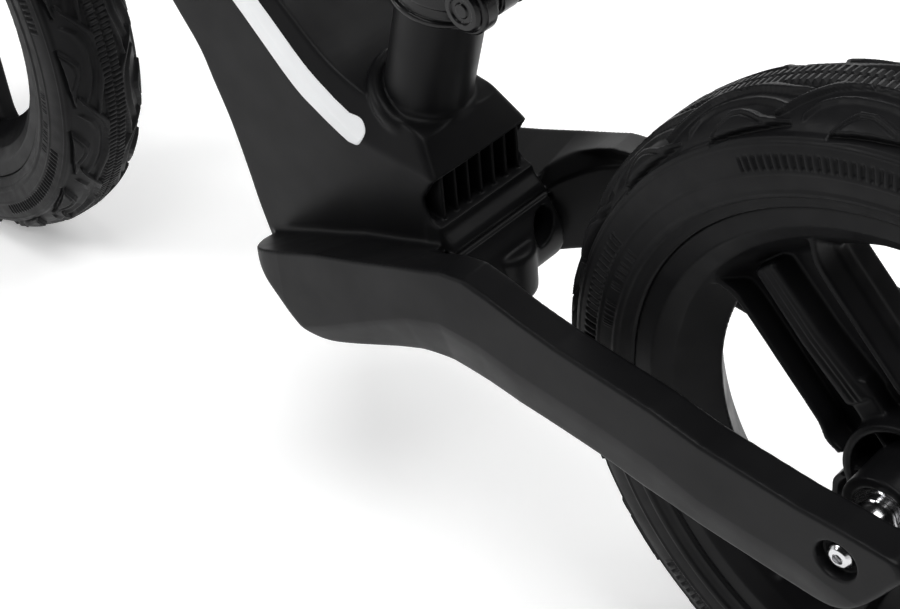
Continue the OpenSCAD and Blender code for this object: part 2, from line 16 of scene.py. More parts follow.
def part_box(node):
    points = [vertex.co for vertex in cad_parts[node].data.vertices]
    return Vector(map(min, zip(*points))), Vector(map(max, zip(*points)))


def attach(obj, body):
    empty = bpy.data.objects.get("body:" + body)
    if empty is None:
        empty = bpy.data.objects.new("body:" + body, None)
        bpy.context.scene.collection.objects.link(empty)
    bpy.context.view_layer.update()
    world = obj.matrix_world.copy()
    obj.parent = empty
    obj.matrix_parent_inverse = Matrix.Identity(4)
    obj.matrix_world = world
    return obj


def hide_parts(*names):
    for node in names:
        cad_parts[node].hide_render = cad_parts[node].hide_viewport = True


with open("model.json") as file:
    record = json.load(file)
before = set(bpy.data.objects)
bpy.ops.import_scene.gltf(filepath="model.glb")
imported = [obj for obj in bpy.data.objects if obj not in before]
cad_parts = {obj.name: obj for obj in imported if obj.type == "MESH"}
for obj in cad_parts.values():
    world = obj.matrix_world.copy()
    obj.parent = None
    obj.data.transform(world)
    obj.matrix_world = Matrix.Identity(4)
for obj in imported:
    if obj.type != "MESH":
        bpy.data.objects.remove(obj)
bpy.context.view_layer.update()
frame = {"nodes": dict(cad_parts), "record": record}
MM = 0.001


def node_middle(node):
    """Middle of a CAD node's box, in millimetres."""
    low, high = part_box(node)
    return (np.array(low) + np.array(high)) / 2 / MM


def joint(name):
    return next(j for j in frame["record"]["behaviour"]["joints"] if j["name"] == name)


REAR_AXLE = node_middle("rear_axle")
FRONT_AXLE = node_middle("front_axle")
WHEEL_R = REAR_AXLE[2]
STAY_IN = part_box("rear_axle")[1][1] / MM
STAY_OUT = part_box("fork")[1][1] / MM
STEER_AXIS = np.array(joint("steering_turn")["axis"])
STEER_POINT = np.array(joint("steering_turn")["pos_m"]) / MM
SEAT_AXIS = np.array(joint("saddle_height")["axis"])
SEAT_FOOT = np.array([-65.0, 0.0, 200.0])


# ---- outlines and distance fields ----

def flowing(points, steps=6):
    """A smooth curve through the points, with its ends kept."""
    p = np.array([points[0], *points, points[-1]], float)
    out = []
    for a, b, c, d in zip(p, p[1:], p[2:], p[3:]):
        for t in np.arange(steps) / steps:
            out.append(0.5 * (2 * b + (c - a) * t + (2 * a - 5 * b + 4 * c - d) * t ** 2
                              + (3 * b - a - 3 * c + d) * t ** 3))
    out.append(p[-1])
    return [tuple(q) for q in out]


def outline_distance(outline, u, v):
    """Signed distance to a closed outline, negative inside."""
    p = np.array(outline, float)
    best = np.full(np.broadcast(u, v).shape, 1e9)
    inside = np.zeros(best.shape, bool)
    for a, b in zip(p, np.roll(p, -1, axis=0)):
        e = b - a
        if not e.any():
            continue
        t = np.clip(((u - a[0]) * e[0] + (v - a[1]) * e[1]) / (e @ e), 0, 1)
        best = np.minimum(best, (u - a[0] - t * e[0]) ** 2 + (v - a[1] - t * e[1]) ** 2)
        if a[1] != b[1]:
            crossing = ((a[1] > v) != (b[1] > v)) & (u < e[0] * (v - a[1]) / e[1] + a[0])
            inside ^= crossing
    return np.where(inside, -1, 1) * np.sqrt(best)


def line_side(points, u, v):
    """Signed distance to an open line that runs across the whole field, positive on its left."""
    p = np.array(points, float)
    best = np.full(np.broadcast(u, v).shape, 1e9)
    side = np.zeros(best.shape)
    for a, b in zip(p, p[1:]):
        e = b - a
        t = np.clip(((u - a[0]) * e[0] + (v - a[1]) * e[1]) / (e @ e), 0, 1)
        dist = (u - a[0] - t * e[0]) ** 2 + (v - a[1] - t * e[1]) ** 2
        sign = e[0] * (v - a[1]) - e[1] * (u - a[0])
        closer = dist < best
        best = np.where(closer, dist, best)
        side = np.where(closer, sign, side)
    return np.sign(side) * np.sqrt(best)


def meet(a, b, k=0.0):
    """What is inside both, with an edge rounded over about k."""
    if k == 0:
        return np.maximum(a, b)
    h = np.maximum(k - np.abs(a - b), 0) / k
    return np.maximum(a, b) + h * h * k / 4


def join(a, b, k=0.0):
    """What is inside either, with a fillet of about k."""
    return -meet(-a, -b, k)


def slab(v, low, high):
    """Distance to the layer between two levels."""
    return np.maximum(low - v, v - high)


def cut(a, b, k=0.0):
    return meet(a, -b, k)


class Field:
    """A box of points, in millimetres, on which distance fields are worked out."""

    def __init__(self, low, high, step):
        self.low = np.array(low, float)
        self.step = step
        sizes = np.ceil((np.array(high, float) - self.low) / step).astype(int) + 1
        axes = [l + step * np.arange(n) for l, n in zip(self.low, sizes)]
        self.x = axes[0][:, None, None].astype(np.float32)
        self.y = axes[1][None, :, None].astype(np.float32)
        self.z = axes[2][None, None, :].astype(np.float32)

    def unfolded(self, values):
        """The whole field and its values, from a half that holds only y >= 0."""
        high = self.low + self.step * (np.array(values.shape) - 1)
        whole = Field((self.low[0], -high[1], self.low[2]), high - 1e-4, self.step)
        return whole, np.concatenate([values[:, :0:-1, :], values], axis=1)

    def mesh(self, name, values):
        """The surface where the field is zero."""
        band = 3.0 * self.step
        grid = openvdb.FloatGrid(band)
        grid.copyFromArray(np.clip(values, -band, band).astype(np.float32))
        points, quads = grid.convertToQuads(isovalue=0.0)
        return new_mesh(name, (points * self.step + self.low) * MM, quads)


def new_mesh(name, points, quads, smooth=True):
    """A mesh object from arrays of points and four-cornered faces."""
    mesh = bpy.data.meshes.new(name)
    mesh.vertices.add(len(points))
    mesh.vertices.foreach_set("co", np.asarray(points, np.float32).ravel())
    mesh.loops.add(quads.size)
    mesh.loops.foreach_set("vertex_index", np.asarray(quads, np.int32).ravel())
    mesh.polygons.add(len(quads))
    mesh.polygons.foreach_set("loop_start", np.arange(0, quads.size, 4, dtype=np.int32))
    mesh.update(calc_edges=True)
    mesh.validate()
    if smooth:
        mesh.polygons.foreach_set("use_smooth", np.ones(len(mesh.polygons), bool))
    piece = bpy.data.objects.new(name, mesh)
    bpy.context.scene.collection.objects.link(piece)
    return piece


def dress(piece, body, slot, *nodes, material=None):
    """Gives a piece its body and the material of its slot, and hides the CAD nodes it stands for."""
    piece.data.materials.clear()
    piece.data.materials.append(MATERIALS[material or slot])
    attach(piece, body)
    if nodes:
        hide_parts(*nodes)
    return piece


def leaning(foot, axis):
    """From axes whose z runs along a leaning part, with its origin at foot, to the bike's."""
    turn = Matrix(((axis[2], 0, axis[0]), (0, 1, 0), (-axis[0], 0, axis[2]))).to_4x4()
    return Matrix.Translation(Vector(foot) * MM) @ turn


def turn(degrees, axis):
    return Matrix.Rotation(math.radians(degrees), 4, axis)


STEER_FOOT = STEER_POINT - STEER_AXIS * ((STEER_POINT - FRONT_AXLE) @ STEER_AXIS)
STEERING = leaning(STEER_FOOT, STEER_AXIS)
SEATING = leaning(SEAT_FOOT, SEAT_AXIS)


def cast(name, f, values, place, *dressing, half=True):
    """A piece from a field in its own axes. A half field holds only y >= 0."""
    if half:
        f, values = f.unfolded(values)
    piece = f.mesh(name, values)
    piece.data.transform(place)
    return dress(piece, *dressing)


def turned(name, outline, place, step, *dressing):
    """A turned piece from its outline, as radii and places along its z axis."""
    r, z = np.array(outline).T
    reach = r.max() + 1
    f = Field((-reach, -reach, z.min() - 1), (reach, reach, z.max() + 1), step)
    values = outline_distance(outline, np.hypot(f.x, f.y) + 0 * f.z, f.z + 0 * f.x)
    return cast(name, f, values, place, *dressing, half=False)


# ---- materials ----

def principled(name, colour, roughness, metallic=0.0, **sockets):
    mat = bpy.data.materials.new(name)
    mat.use_nodes = True
    shader = mat.node_tree.nodes["Principled BSDF"]
    shader.inputs["Base Color"].default_value = (*colour, 1)
    shader.inputs["Roughness"].default_value = roughness
    shader.inputs["Metallic"].default_value = metallic
    for socket, value in sockets.items():
        shader.inputs[socket.replace("_", " ")].default_value = value
    return mat


def noise(mat, scale, detail=3.0, stretch=None):
    """A noise texture in object space, in turns per metre."""
    nodes, links = mat.node_tree.nodes, mat.node_tree.links
    place = nodes.new("ShaderNodeTexCoord")
    tex = nodes.new("ShaderNodeTexNoise")
    tex.inputs["Scale"].default_value = scale
    tex.inputs["Detail"].default_value = detail
    source = place.outputs["Object"]
    if stretch:
        mapping = nodes.new("ShaderNodeMapping")
        mapping.inputs["Scale"].default_value = stretch
        links.new(source, mapping.inputs["Vector"])
        source = mapping.outputs["Vector"]
    links.new(source, tex.inputs["Vector"])
    return tex.outputs["Fac"]


def ramp(mat, source, low, high, start=0.3, end=0.7):
    """Maps a grey source between two values or two colours."""
    nodes, links = mat.node_tree.nodes, mat.node_tree.links
    if isinstance(low, (int, float)):
        node = nodes.new("ShaderNodeMapRange")
        node.inputs["From Min"].default_value = start
        node.inputs["From Max"].default_value = end
        node.inputs["To Min"].default_value = low
        node.inputs["To Max"].default_value = high
        links.new(source, node.inputs["Value"])
        return node.outputs["Result"]
    node = nodes.new("ShaderNodeValToRGB")
    node.color_ramp.elements[0].position = start
    node.color_ramp.elements[1].position = end
    node.color_ramp.elements[0].color = (*low, 1)
    node.color_ramp.elements[1].color = (*high, 1)
    links.new(source, node.inputs["Fac"])
    return node.outputs["Color"]


def feed(mat, socket, source):
    mat.node_tree.links.new(source, mat.node_tree.nodes["Principled BSDF"].inputs[socket])


def bump(mat, source, distance, strength=1.0, after=None):
    nodes, links = mat.node_tree.nodes, mat.node_tree.links
    node = nodes.new("ShaderNodeBump")
    node.inputs["Distance"].default_value = distance
    node.inputs["Strength"].default_value = strength
    links.new(source, node.inputs["Height"])
    if after is not None:
        links.new(after, node.inputs["Normal"])
    feed(mat, "Normal", node.outputs["Normal"])
    return node.outputs["Normal"]


def frame_paint():
    """Satin black powder coat: a very fine grain over a slight flow."""
    mat = principled("frame_paint", (0.006, 0.006, 0.0065), 0.42, Specular_IOR_Level=0.11)
    feed(mat, "Base Color", ramp(mat, noise(mat, 24, 4), (0.0045, 0.0045, 0.005), (0.0075, 0.0075, 0.008)))
    feed(mat, "Roughness", ramp(mat, noise(mat, 60, 5), 0.38, 0.48))
    first = bump(mat, noise(mat, 1500, 3), 0.00006, 0.35)
    bump(mat, noise(mat, 130, 2), 0.0002, 0.05, after=first)
    return mat


def surface(name, dark, light, tone, roughness, drift, grain, depth, strength, **sockets):
    """A material whose tone and roughness drift a little, over a fine grain.

    tone, drift and grain are each a noise's turns per metre and its detail.
    """
    mat = principled(name, light, roughness[0], **sockets)
    feed(mat, "Base Color", ramp(mat, noise(mat, *tone), dark, light))
    feed(mat, "Roughness", ramp(mat, noise(mat, *drift), *roughness))
    bump(mat, noise(mat, *grain), depth, strength)
    return mat


def tube_rubber():
    mat = principled("tube_rubber", (0.016, 0.016, 0.016), 0.55)
    feed(mat, "Roughness", ramp(mat, noise(mat, 200, 3), 0.48, 0.65))
    bump(mat, noise(mat, 700, 3), 0.0001, 0.4)
    return mat


def saddle_vinyl():
    """Embossed cover: a pebbled grain a millimetre or two across."""
    mat = principled("saddle_vinyl", (0.012, 0.012, 0.0125), 0.46, Specular_IOR_Level=0.35)
    feed(mat, "Base Color", ramp(mat, noise(mat, 50, 4), (0.009, 0.009, 0.0095), (0.016, 0.016, 0.0165)))
    feed(mat, "Roughness", ramp(mat, noise(mat, 400, 4), 0.40, 0.56))
    cells = mat.node_tree.nodes.new("ShaderNodeTexVoronoi")
    cells.feature = "DISTANCE_TO_EDGE"
    cells.inputs["Scale"].default_value = 620
    place = mat.node_tree.nodes.new("ShaderNodeTexCoord")
    mat.node_tree.links.new(place.outputs["Object"], cells.inputs["Vector"])
    grain = ramp(mat, cells.outputs["Distance"], 0.0, 1.0, 0.0, 0.18)
    first = bump(mat, grain, 0.00018, 0.6)
    bump(mat, noise(mat, 1800, 3), 0.00005, 0.4, after=first)
    return mat


MATERIALS = {
    "frame_paint": frame_paint(),
    "wheel_plastic": surface(
        "wheel_plastic", (0.004, 0.004, 0.0045), (0.0065, 0.0065, 0.007), (40, 3),
        (0.30, 0.46), (90, 4), (900, 3), 0.00008, 0.35, Specular_IOR_Level=0.09),
    "tyre_rubber": surface(
        "tyre_rubber", (0.005, 0.005, 0.0055), (0.009, 0.009, 0.0095), (30, 4),
        (0.36, 0.52), (150, 5), (1100, 4), 0.0001, 0.4, Specular_IOR_Level=0.1),
    "strip_white": surface(
        "strip_white", (0.80, 0.81, 0.82), (0.85, 0.86, 0.87), (50, 3),
        (0.30, 0.42), (200, 3), (1200, 2), 0.00005, 0.2),
    "polished_steel": surface(
        "bright_steel", (0.60, 0.60, 0.61), (0.68, 0.68, 0.69), (60, 3),
        (0.12, 0.20), (300, 4), (1500, 2), 0.00001, 0.15, metallic=1.0),
    "zinc_steel": surface(
        "zinc_steel", (0.36, 0.37, 0.39), (0.50, 0.51, 0.53), (90, 4),
        (0.28, 0.45), (400, 4), (1800, 2), 0.00004, 0.3, metallic=1.0),
    "black_anodised": surface(
        "black_anodised", (0.005, 0.005, 0.0055), (0.008, 0.008, 0.0085), (70, 3),
        (0.16, 0.28), (300, 4), (1600, 2), 0.00004, 0.3, Specular_IOR_Level=0.25),
    "black_plastic": surface(
        "black_plastic", (0.006, 0.006, 0.0065), (0.010, 0.010, 0.0105), (60, 3),
        (0.45, 0.58), (300, 3), (1400, 3), 0.0001, 0.4, Specular_IOR_Level=0.3),
    "grip_rubber": surface(
        "grip_rubber", (0.007, 0.007, 0.0075), (0.012, 0.012, 0.0125), (60, 3),
        (0.55, 0.72), (300, 3), (1300, 4), 0.00012, 0.5, Specular_IOR_Level=0.3),
    "tube_rubber": tube_rubber(),
    "saddle_cover": saddle_vinyl(),
    "thread": surface(
        "thread", (0.035, 0.035, 0.036), (0.07, 0.07, 0.072), (900, 3),
        (0.5, 0.7), (1200, 2), (3000, 2, (1, 1, 4)), 0.0001, 0.6),
}


def paint_cad_nodes():
    """Every CAD node gets the material of its slot."""
    for part in frame["record"]["subparts"]:
        piece = frame["nodes"][part["node"]]
        piece.data.materials.clear()
        piece.data.materials.append(MATERIALS[part["material_slot"]])


# ---- frame casting ----

FRAME_STEP = 0.8
STRIP_STEP = 0.5
BEAM_HALF = 28.0
SHOULDER_SLOPE = 0.42

BEAM_FRONT = flowing([(11, 123), (16, 139), (20, 156), (26, 178), (33, 196), (38, 209), (46, 221),
                      (60, 239), (85, 262), (120, 285), (160, 303), (196, 316)])
BEAM_CREST = flowing([(176, 387), (138, 369), (97.8, 342.7), (57.7, 311.7), (19.7, 277.6), (-11.2, 249.6),
                      (-33.6, 230), (-50.6, 221), (-66, 216.5), (-88, 212)])
BEAM_FOLD = flowing([(230, 420), (160, 366), (118, 337), (75, 306), (38, 276), (5, 248),
                     (-24, 220), (-48, 205), (-62, 200.5), (-79, 199), (-100, 197), (-160, 190)])
BEAM_REAR = [(-98.4, 198), (-98, 172), (-96, 128), (-84, 112), (-44, 107), (-20, 108), (2, 115)]
# The light strip's lower edge, rounded end and upper edge, in side view
STRIP = (flowing([(166, 363), (118, 330), (78, 299), (42, 270), (10, 243), (-19, 215), (-33, 206),
                  (-45, 200)])
         + flowing([(-50, 198), (-55, 198.5), (-58, 202), (-59, 206), (-56, 210), (-50, 211)])
         + flowing([(-42, 215), (-27, 225), (-6, 245), (30, 279), (68, 309), (110, 341), (158, 372)]))


# The yoke's axis, in side view
YOKE = (-97, 148)


def seat_tube_around(f):
    """Distance from the seat tube's axis, and place along it."""
    dx, dz = f.x - SEAT_FOOT[0], f.z - SEAT_FOOT[2]
    along = dx * SEAT_AXIS[0] + dz * SEAT_AXIS[2]
    across = np.sqrt((dx - along * SEAT_AXIS[0]) ** 2 + f.y ** 2 + (dz - along * SEAT_AXIS[2]) ** 2)
    return across, along


def steering_around(f):
    """Distance from the steering axis, and place along it from its point beside the front axle."""
    dx, dz = f.x - STEER_FOOT[0], f.z - STEER_FOOT[2]
    along = dx * STEER_AXIS[0] + dz * STEER_AXIS[2]
    across = np.sqrt((dx - along * STEER_AXIS[0]) ** 2 + f.y ** 2 + (dz - along * STEER_AXIS[2]) ** 2)
    return across, along


def rod(across, along, radius, low, high, k=1.5):
    return meet(across - radius, np.maximum(low - along, along - high), k)


def shifted_outline(f, outline, shift):
    """Distance to an outline in side view that each slice in y moves by shift(x, y)."""
    x = f.x[:, 0, 0]
    flat = outline_distance(outline, f.x[:, 0, :], f.z[:, 0, :])
    out = np.empty((len(x), f.y.shape[1], f.z.shape[2]), np.float32)
    for j, y in enumerate(f.y[0, :, 0]):
        place = np.clip((x - shift(x, y) - x[0]) / f.step, 0, len(x) - 1.001)
        i = place.astype(int)
        w = (place - i)[:, None]
        out[:, j, :] = flat[i] * (1 - w) + flat[i + 1] * w
    return out


def cut_web(solid, x, y, z):
    """Slopes the web between the yoke and a stay down from the stay's inner top edge."""
    inward = STAY_IN - 0.4 - y
    top = np.interp(x, [-160, -137, -118, -100], [182, 187, 183, 178])
    above = meet(top - 2.2 - 0.7 * inward - z, -inward, 0.6) / 1.2
    return np.where(x < -98.5, cut(solid, above, 0.8), solid)


def shelf_field(f):
    """A footrest and the stay behind it, for y >= 0."""
    x, y, z = f.x, f.y, f.z
    plan = (flowing([(16, 22), (11, 28), (2, 40), (-7, 50), (-16, 56), (-30, 58)])
            + [(-340, 58), (-340, 43)]
            + flowing([(-160, 43), (-142, 42), (-126, 39), (-113, 33.5), (-105, 28), (-100, 20)]))
    planform = outline_distance(plan, x, y)
    top_at = [-340, -324, -302, -284, -245, -224, -204, -181, -164, -150, -137, -126, -118, -100,
              -78, -54, -35, -22, 20]
    top_out = [160, 163, 164.5, 165, 169, 173.5, 176, 179, 182.5, 186, 188.5, 187, 184, 178,
               170, 162, 154, 149, 131]
    tilt = np.interp(x, [-140, -118, -98], [0.0, 0.04, 0.3])
    top = z - (np.interp(x, top_at, top_out) - tilt * (58 - y))
    side = (flowing([(-320, 166), (-326, 158), (-321, 148), (-313, 136), (-304, 126), (-292, 122.5),
                     (-262, 125), (-241, 127), (-219, 129), (-198, 133), (-160, 137), (-127, 137),
                     (-109, 134), (-97, 130), (-76, 122), (-54, 114.5), (-38, 111), (-27, 112),
                     (-18, 116), (-8, 125), (-1, 132), (1, 139), (-2, 150), (-12, 175)])
            + [(-12, 230), (-320, 230)])
    toe_at = [22, 28, 40, 50, 58, 70]
    toe_by = [14, 11, 2, -7, -18, -40]

    def toe(xs, y_here):
        return np.interp(y_here, toe_at, toe_by) * np.interp(xs, [-110, -50], [0, 1])

    body = shifted_outline(f, side, toe)
    crease_at = [-340, -298, -285, -266, -245, -224, -198, -162, -143, -123, -104, -80, -54, -35, 20]
    crease_z = [130, 137, 140, 141, 143, 149, 153, 157, 160.5, 161, 154, 140, 124, 114, 112]
    below = np.maximum(np.interp(x, crease_at, crease_z) - z, 0)
    slope = np.interp(x, [-160, -90], [0.20, 0.38])
    outer = (y - 58 + slope * below) / np.sqrt(1 + slope ** 2)
    solid = meet(meet(meet(planform, outer, 1.5), body, 3.0), top * 0.96, 1.4)
    return cut_web(solid, x, y, z)


def yoke_field(f, solid):
    """The rounded back of the beam between the stays, with its lip, seams and boss."""
    x, y, z = f.x, f.y, f.z
    round_x, round_z, r = *YOKE, 17
    across = np.sqrt((x - round_x) ** 2 + (z - round_z) ** 2)
    solid = join(solid, meet(across - r, y - 27.6, 2.0), 1.0)
    lip_outline = [(-90, 176.3), (-96, 176), (-103, 170), (-110, 158), (-97, 148), (-88, 150)]
    lip = outline_distance(lip_outline, x, z)
    solid = join(solid, meet(lip, y - 27.6, 2.0), 1.5)
    boss = meet(np.sqrt((x + 106) ** 2 + y ** 2) - 12.3, np.maximum(z - 156, 132 - z), 4.0)
    solid = join(solid, boss, 1.0)
    end_seam = np.sqrt((across - r) ** 2 + (y - 28) ** 2) - 1.3
    solid = cut(solid, np.where(x < round_x, end_seam, 5), 0.2)
    top_seam = np.sqrt((x + 105.2) ** 2 + (z - 166.2) ** 2) - 1.3
    return cut(solid, np.where(y < 28, top_seam, 5), 0.2)


def right_window(f, solid):
    """The oval opening in the right half of the yoke."""
    across = np.sqrt((f.x - YOKE[0]) ** 2 + (f.z - YOKE[1]) ** 2)
    turn = np.degrees(np.arctan2(f.z - YOKE[1], YOKE[0] - f.x))
    middle = -17.5 - (turn - 32) * 0.14
    window = (np.sqrt(((f.y - middle) / 5.8) ** 2 + ((turn - 32) / 25) ** 2) - 1) * 5.8
    return cut(solid, np.where(f.x < YOKE[0], meet(window, 4 - across, 0.5), 9), 0.4)


def mouth_field(f, solid):
    """The rear-facing opening under the seat tube, with its upright fins."""
    x, y, z = f.x, f.y, f.z
    slot = outline_distance(flowing([(-120, 203), (-99, 199.5), (-92, 191), (-89.5, 186), (-91, 180.5),
                                     (-97, 176.5), (-120, 175)]), x, z)
    solid = cut(solid, meet(slot, y - 34, 2.0), 0.5)
    pocket = outline_distance([(-120, 197), (-72, 197), (-66, 178), (-120, 176.5)], x, z)
    solid = cut(solid, meet(pocket, y - 25.5, 2.0), 1.2)
    pitch = 7.3
    fin_y = np.abs((y + pitch / 2) % pitch - pitch / 2) - 0.8
    fin = meet(meet(fin_y, np.maximum(-95.5 - x, x + 60)), np.maximum(z - 199, 176.5 - z), 0.6)
    fin = np.where(y < 3.4 * pitch, fin, 5)
    return join(solid, fin, 0.4)


def beam_sides(f):
    """The beam's upright side and, above the fold, its sloping shoulder, for y >= 0."""
    fold = np.maximum(-line_side(BEAM_FOLD, f.x, f.z), 0)
    lean = 1 / math.hypot(1, SHOULDER_SLOPE)
    return meet(f.y - BEAM_HALF, (f.y - BEAM_HALF + SHOULDER_SLOPE * fold) * lean, 1.2)


def frame_field(f):
    """The casting, for y >= 0."""
    x, y, z = f.x, f.y, f.z
    profile = outline_distance(BEAM_FRONT + BEAM_CREST + BEAM_REAR, x, z)
    solid = meet(profile, beam_sides(f), 1.6)
    corner = -0.66 * (x + 98.6) + 0.33 * (y - 25.5) + 0.67 * (z - 198.2)
    solid = np.where(x < -45, meet(solid, np.where(z > 190, corner + 0.3, -9), 3.5), solid)
    # Seat tube, with the rounded ring at its foot
    across, along = seat_tube_around(f)
    solid = join(solid, rod(across, along, 17.74, 4, 101), 4.0)
    ring_along = along - 14.5 - 0.28 * (x - SEAT_FOOT[0])
    ring = np.sqrt((across - 20.3) ** 2 + (0.85 * ring_along) ** 2) - 4.0
    solid = join(solid, ring, 0.9)
    # Footrests and stays
    solid = join(solid, shelf_field(f), 3.5)
    solid = yoke_field(f, solid)
    solid = mouth_field(f, solid)
    # Head tube
    head, head_along = steering_around(f)
    solid = join(solid, rod(head, head_along, 24.5, 192, 267, 2.0), 12.0)
    for low, high, radius in ((180, 280, 17.5), (180, 199, 20.5), (260, 280, 20.5)):
        solid = cut(solid, rod(head, head_along, radius, low, high, 0))
    # Bores, the seat tube's slit and the axle's recess
    solid = cut(solid, rod(across, along, 13.65, 4, 110, 0))
    solid = cut(solid, meet(meet(y - 1.5, 66 - along), x - (SEAT_FOOT[0] - 16)), 0)
    axle = np.sqrt((x - REAR_AXLE[0]) ** 2 + (z - REAR_AXLE[2]) ** 2)
    solid = cut(solid, axle - 3.3)
    return cut(solid, meet(axle - 8, 52.5 - y), 0.8)


def build_frame():
    f = Field((-330, 0, 100), (240, 61, 394), FRAME_STEP)
    whole, solid = f.unfolded(frame_field(f))
    casting = whole.mesh("frame_casting", right_window(whole, solid))
    dress(casting, "chassis", "frame_paint", "frame")
    f = Field((-64, 15, 194), (172, 30, 378), STRIP_STEP)
    skin = np.abs(beam_sides(f) + 0.6) - 0.85
    left = f.mesh("light_strip_left", meet(skin, outline_distance(STRIP, f.x, f.z), 0.5))
    dress(left, "chassis", "strip_white", "left_light_strip")
    right = mirrored_copy(left, "light_strip_right")
    dress(right, "chassis", "strip_white", "right_light_strip")


def mirrored_copy(piece, name):
    """The same piece on the other side of the centre plane."""
    mesh = piece.data.copy()
    mesh.transform(Matrix.Scale(-1, 4, (0, 1, 0)))
    mesh.flip_normals()
    other = bpy.data.objects.new(name, mesh)
    bpy.context.scene.collection.objects.link(other)
    return other


# ---- wheels ----

WHEEL_STEP = 0.75
SPOKES = 3
FIRST_SPOKE = {"rear": 46.5, "front": 28.5}
VALVE_AT = {"rear": 226.5, "front": 328.5}
RIM_HALF_SECTION = [(88, -2), (88, 0), (99, 15), (105.5, 20), (112.9, 20.7), (112.9, 18), (105, 17.4),
                    (102.5, 16), (102.5, 10.2), (97, 8), (97, -2)]


def wheel_field(f, first_spoke, valve_at):
    """Rim, spokes and hub about the axle, for y >= 0."""
    x, y, z = f.x, f.y, f.z
    r = np.sqrt(x ** 2 + z ** 2)
    sector = 2 * math.pi / SPOKES
    turn = (np.arctan2(z, x) - math.radians(first_spoke) + sector / 2) % sector - sector / 2
    along, side = r * np.cos(turn), np.abs(r * np.sin(turn))
    rim = outline_distance(RIM_HALF_SECTION, r, y) - 0.3
    # A spoke is a web with a thin wall along each edge and a broad rib in the middle
    reach = np.maximum(18 - along, along - 98)
    flare = 22.5 + 7 * np.exp(-((98 - along) / 9) ** 2) + 2 * np.exp(-((along - 24) / 5) ** 2)
    web = meet(meet(side - flare, y - 2.5, 0.6), reach)
    wall = meet(meet(np.abs(side - flare + 1.5) - 1.4, y - 12.4, 1.0), reach)
    rib_half = 8.6 - 0.30 * y - 0.02 * (along - 60)
    rib_side = np.abs(r * np.sin(turn) + np.interp(along, [30, 60], [0.8, 3.6]))
    rib_top = y - (10.9 - 0.10 * rib_side)
    rib = meet(meet((rib_side - rib_half) * 0.95, rib_top, 1.0), np.maximum(33 - along, along - 90), 1.5)
    crease = np.sqrt((rib_side - 1.2) ** 2 + (y - 11.2) ** 2) - 0.9
    rib = cut(rib, crease, 0.5)
    foot = meet(meet(side - 6.2, y - 9.5, 1.5), np.maximum(24 - along, along - 40), 1.5)
    spoke = join(join(join(web, wall, 1.2), rib, 1.0), foot, 1.2)
    spoke = meet(spoke, 24.0 - r)
    solid = join(rim, spoke, 1.8)
    # Hub: a drum with its floor and six ribs, round a barrel that holds the bearings
    drum = meet(np.abs(r - 24.05) - 1.65, y - 15, 0.8)
    floor = meet(r - 24.5, y - 2.5)
    barrel = meet(r - 15.5, y - 31.3, 1.0)
    six = math.pi / 3
    rib_turn = (np.arctan2(z, x) - math.radians(first_spoke) + six / 2) % six - six / 2
    hub_rib = meet(np.abs(r * np.sin(rib_turn)) - 0.8, np.maximum(y - 12.5, r - 24))
    hub = join(join(join(drum, floor, 1.5), barrel, 2.0), hub_rib, 1.0)
    solid = join(solid, hub, 2.5)
    solid = cut(solid, r - 9.5)
    solid = cut(solid, meet(r - 11.02, 24 - y), 0.3)
    out_x, out_z = math.cos(math.radians(valve_at)), math.sin(math.radians(valve_at))
    across = np.sqrt((x * out_z - z * out_x) ** 2 + y ** 2)
    return cut(solid, meet(across - 3.3, 60 - (x * out_x + z * out_z)), 0.4)


def build_wheel(which, centre):
    f = Field((-115, 0, -115), (115, 33, 115), WHEEL_STEP)
    solid = wheel_field(f, FIRST_SPOKE[which], VALVE_AT[which])
    whole, solid = f.unfolded(solid)
    wheel = whole.mesh(which + "_wheel_moulding", solid)
    wheel.data.transform(Matrix.Translation(Vector(centre) * MM))
    dress(wheel, which + "_wheel_set", "wheel_plastic", which + "_wheel")


# ---- tyres ----

AROUND = 2160
ACROSS = 190
LUG = 20.0
LUG_MIDDLE = 19.5

# Curves of one lug, as angle in degrees from its middle and distance from the tyre's centre line
RIDGE = [(-13, 19.8), (-11.5, 17.5), (-10, 14.5), (-8, 10.8), (-6.2, 7.6), (-4, 5.6), (-1, 4.6),
         (2, 5.4), (5, 7.4), (8, 9.2), (11.5, 10.2)]
FACET = [(-8.6, 20), (-6.7, 14.6), (-4.5, 12.0), (-2, 11.0), (2.7, 11.4), (6, 13.5), (9, 16.5)]
KNOB_TOP = [(-4.2, 26), (-3, 22.4), (-1.6, 18.6), (-0.3, 16.4), (1.4, 16.2), (3, 17.6), (5, 20), (9.6, 22)]
KNOB_FOOT = [(-4.2, 25.8), (-2.6, 25.4), (-0.8, 24.8), (1.6, 24.2), (5, 23.6), (9.6, 22)]


def step_up(x, soft):
    """0 below zero, 1 above, with a slope of the given width."""
    return np.clip(x / soft + 0.5, 0, 1)


def band(x, low, high, soft):
    return step_up(x - low, soft) * step_up(high - x, soft)


def curve(points, u):
    """The curve's height at u, and whether u lies within it."""
    p = np.array(points)
    return np.interp(u, p[:, 0], p[:, 1]), band(u, p[0, 0], p[-1, 0], 0.3)


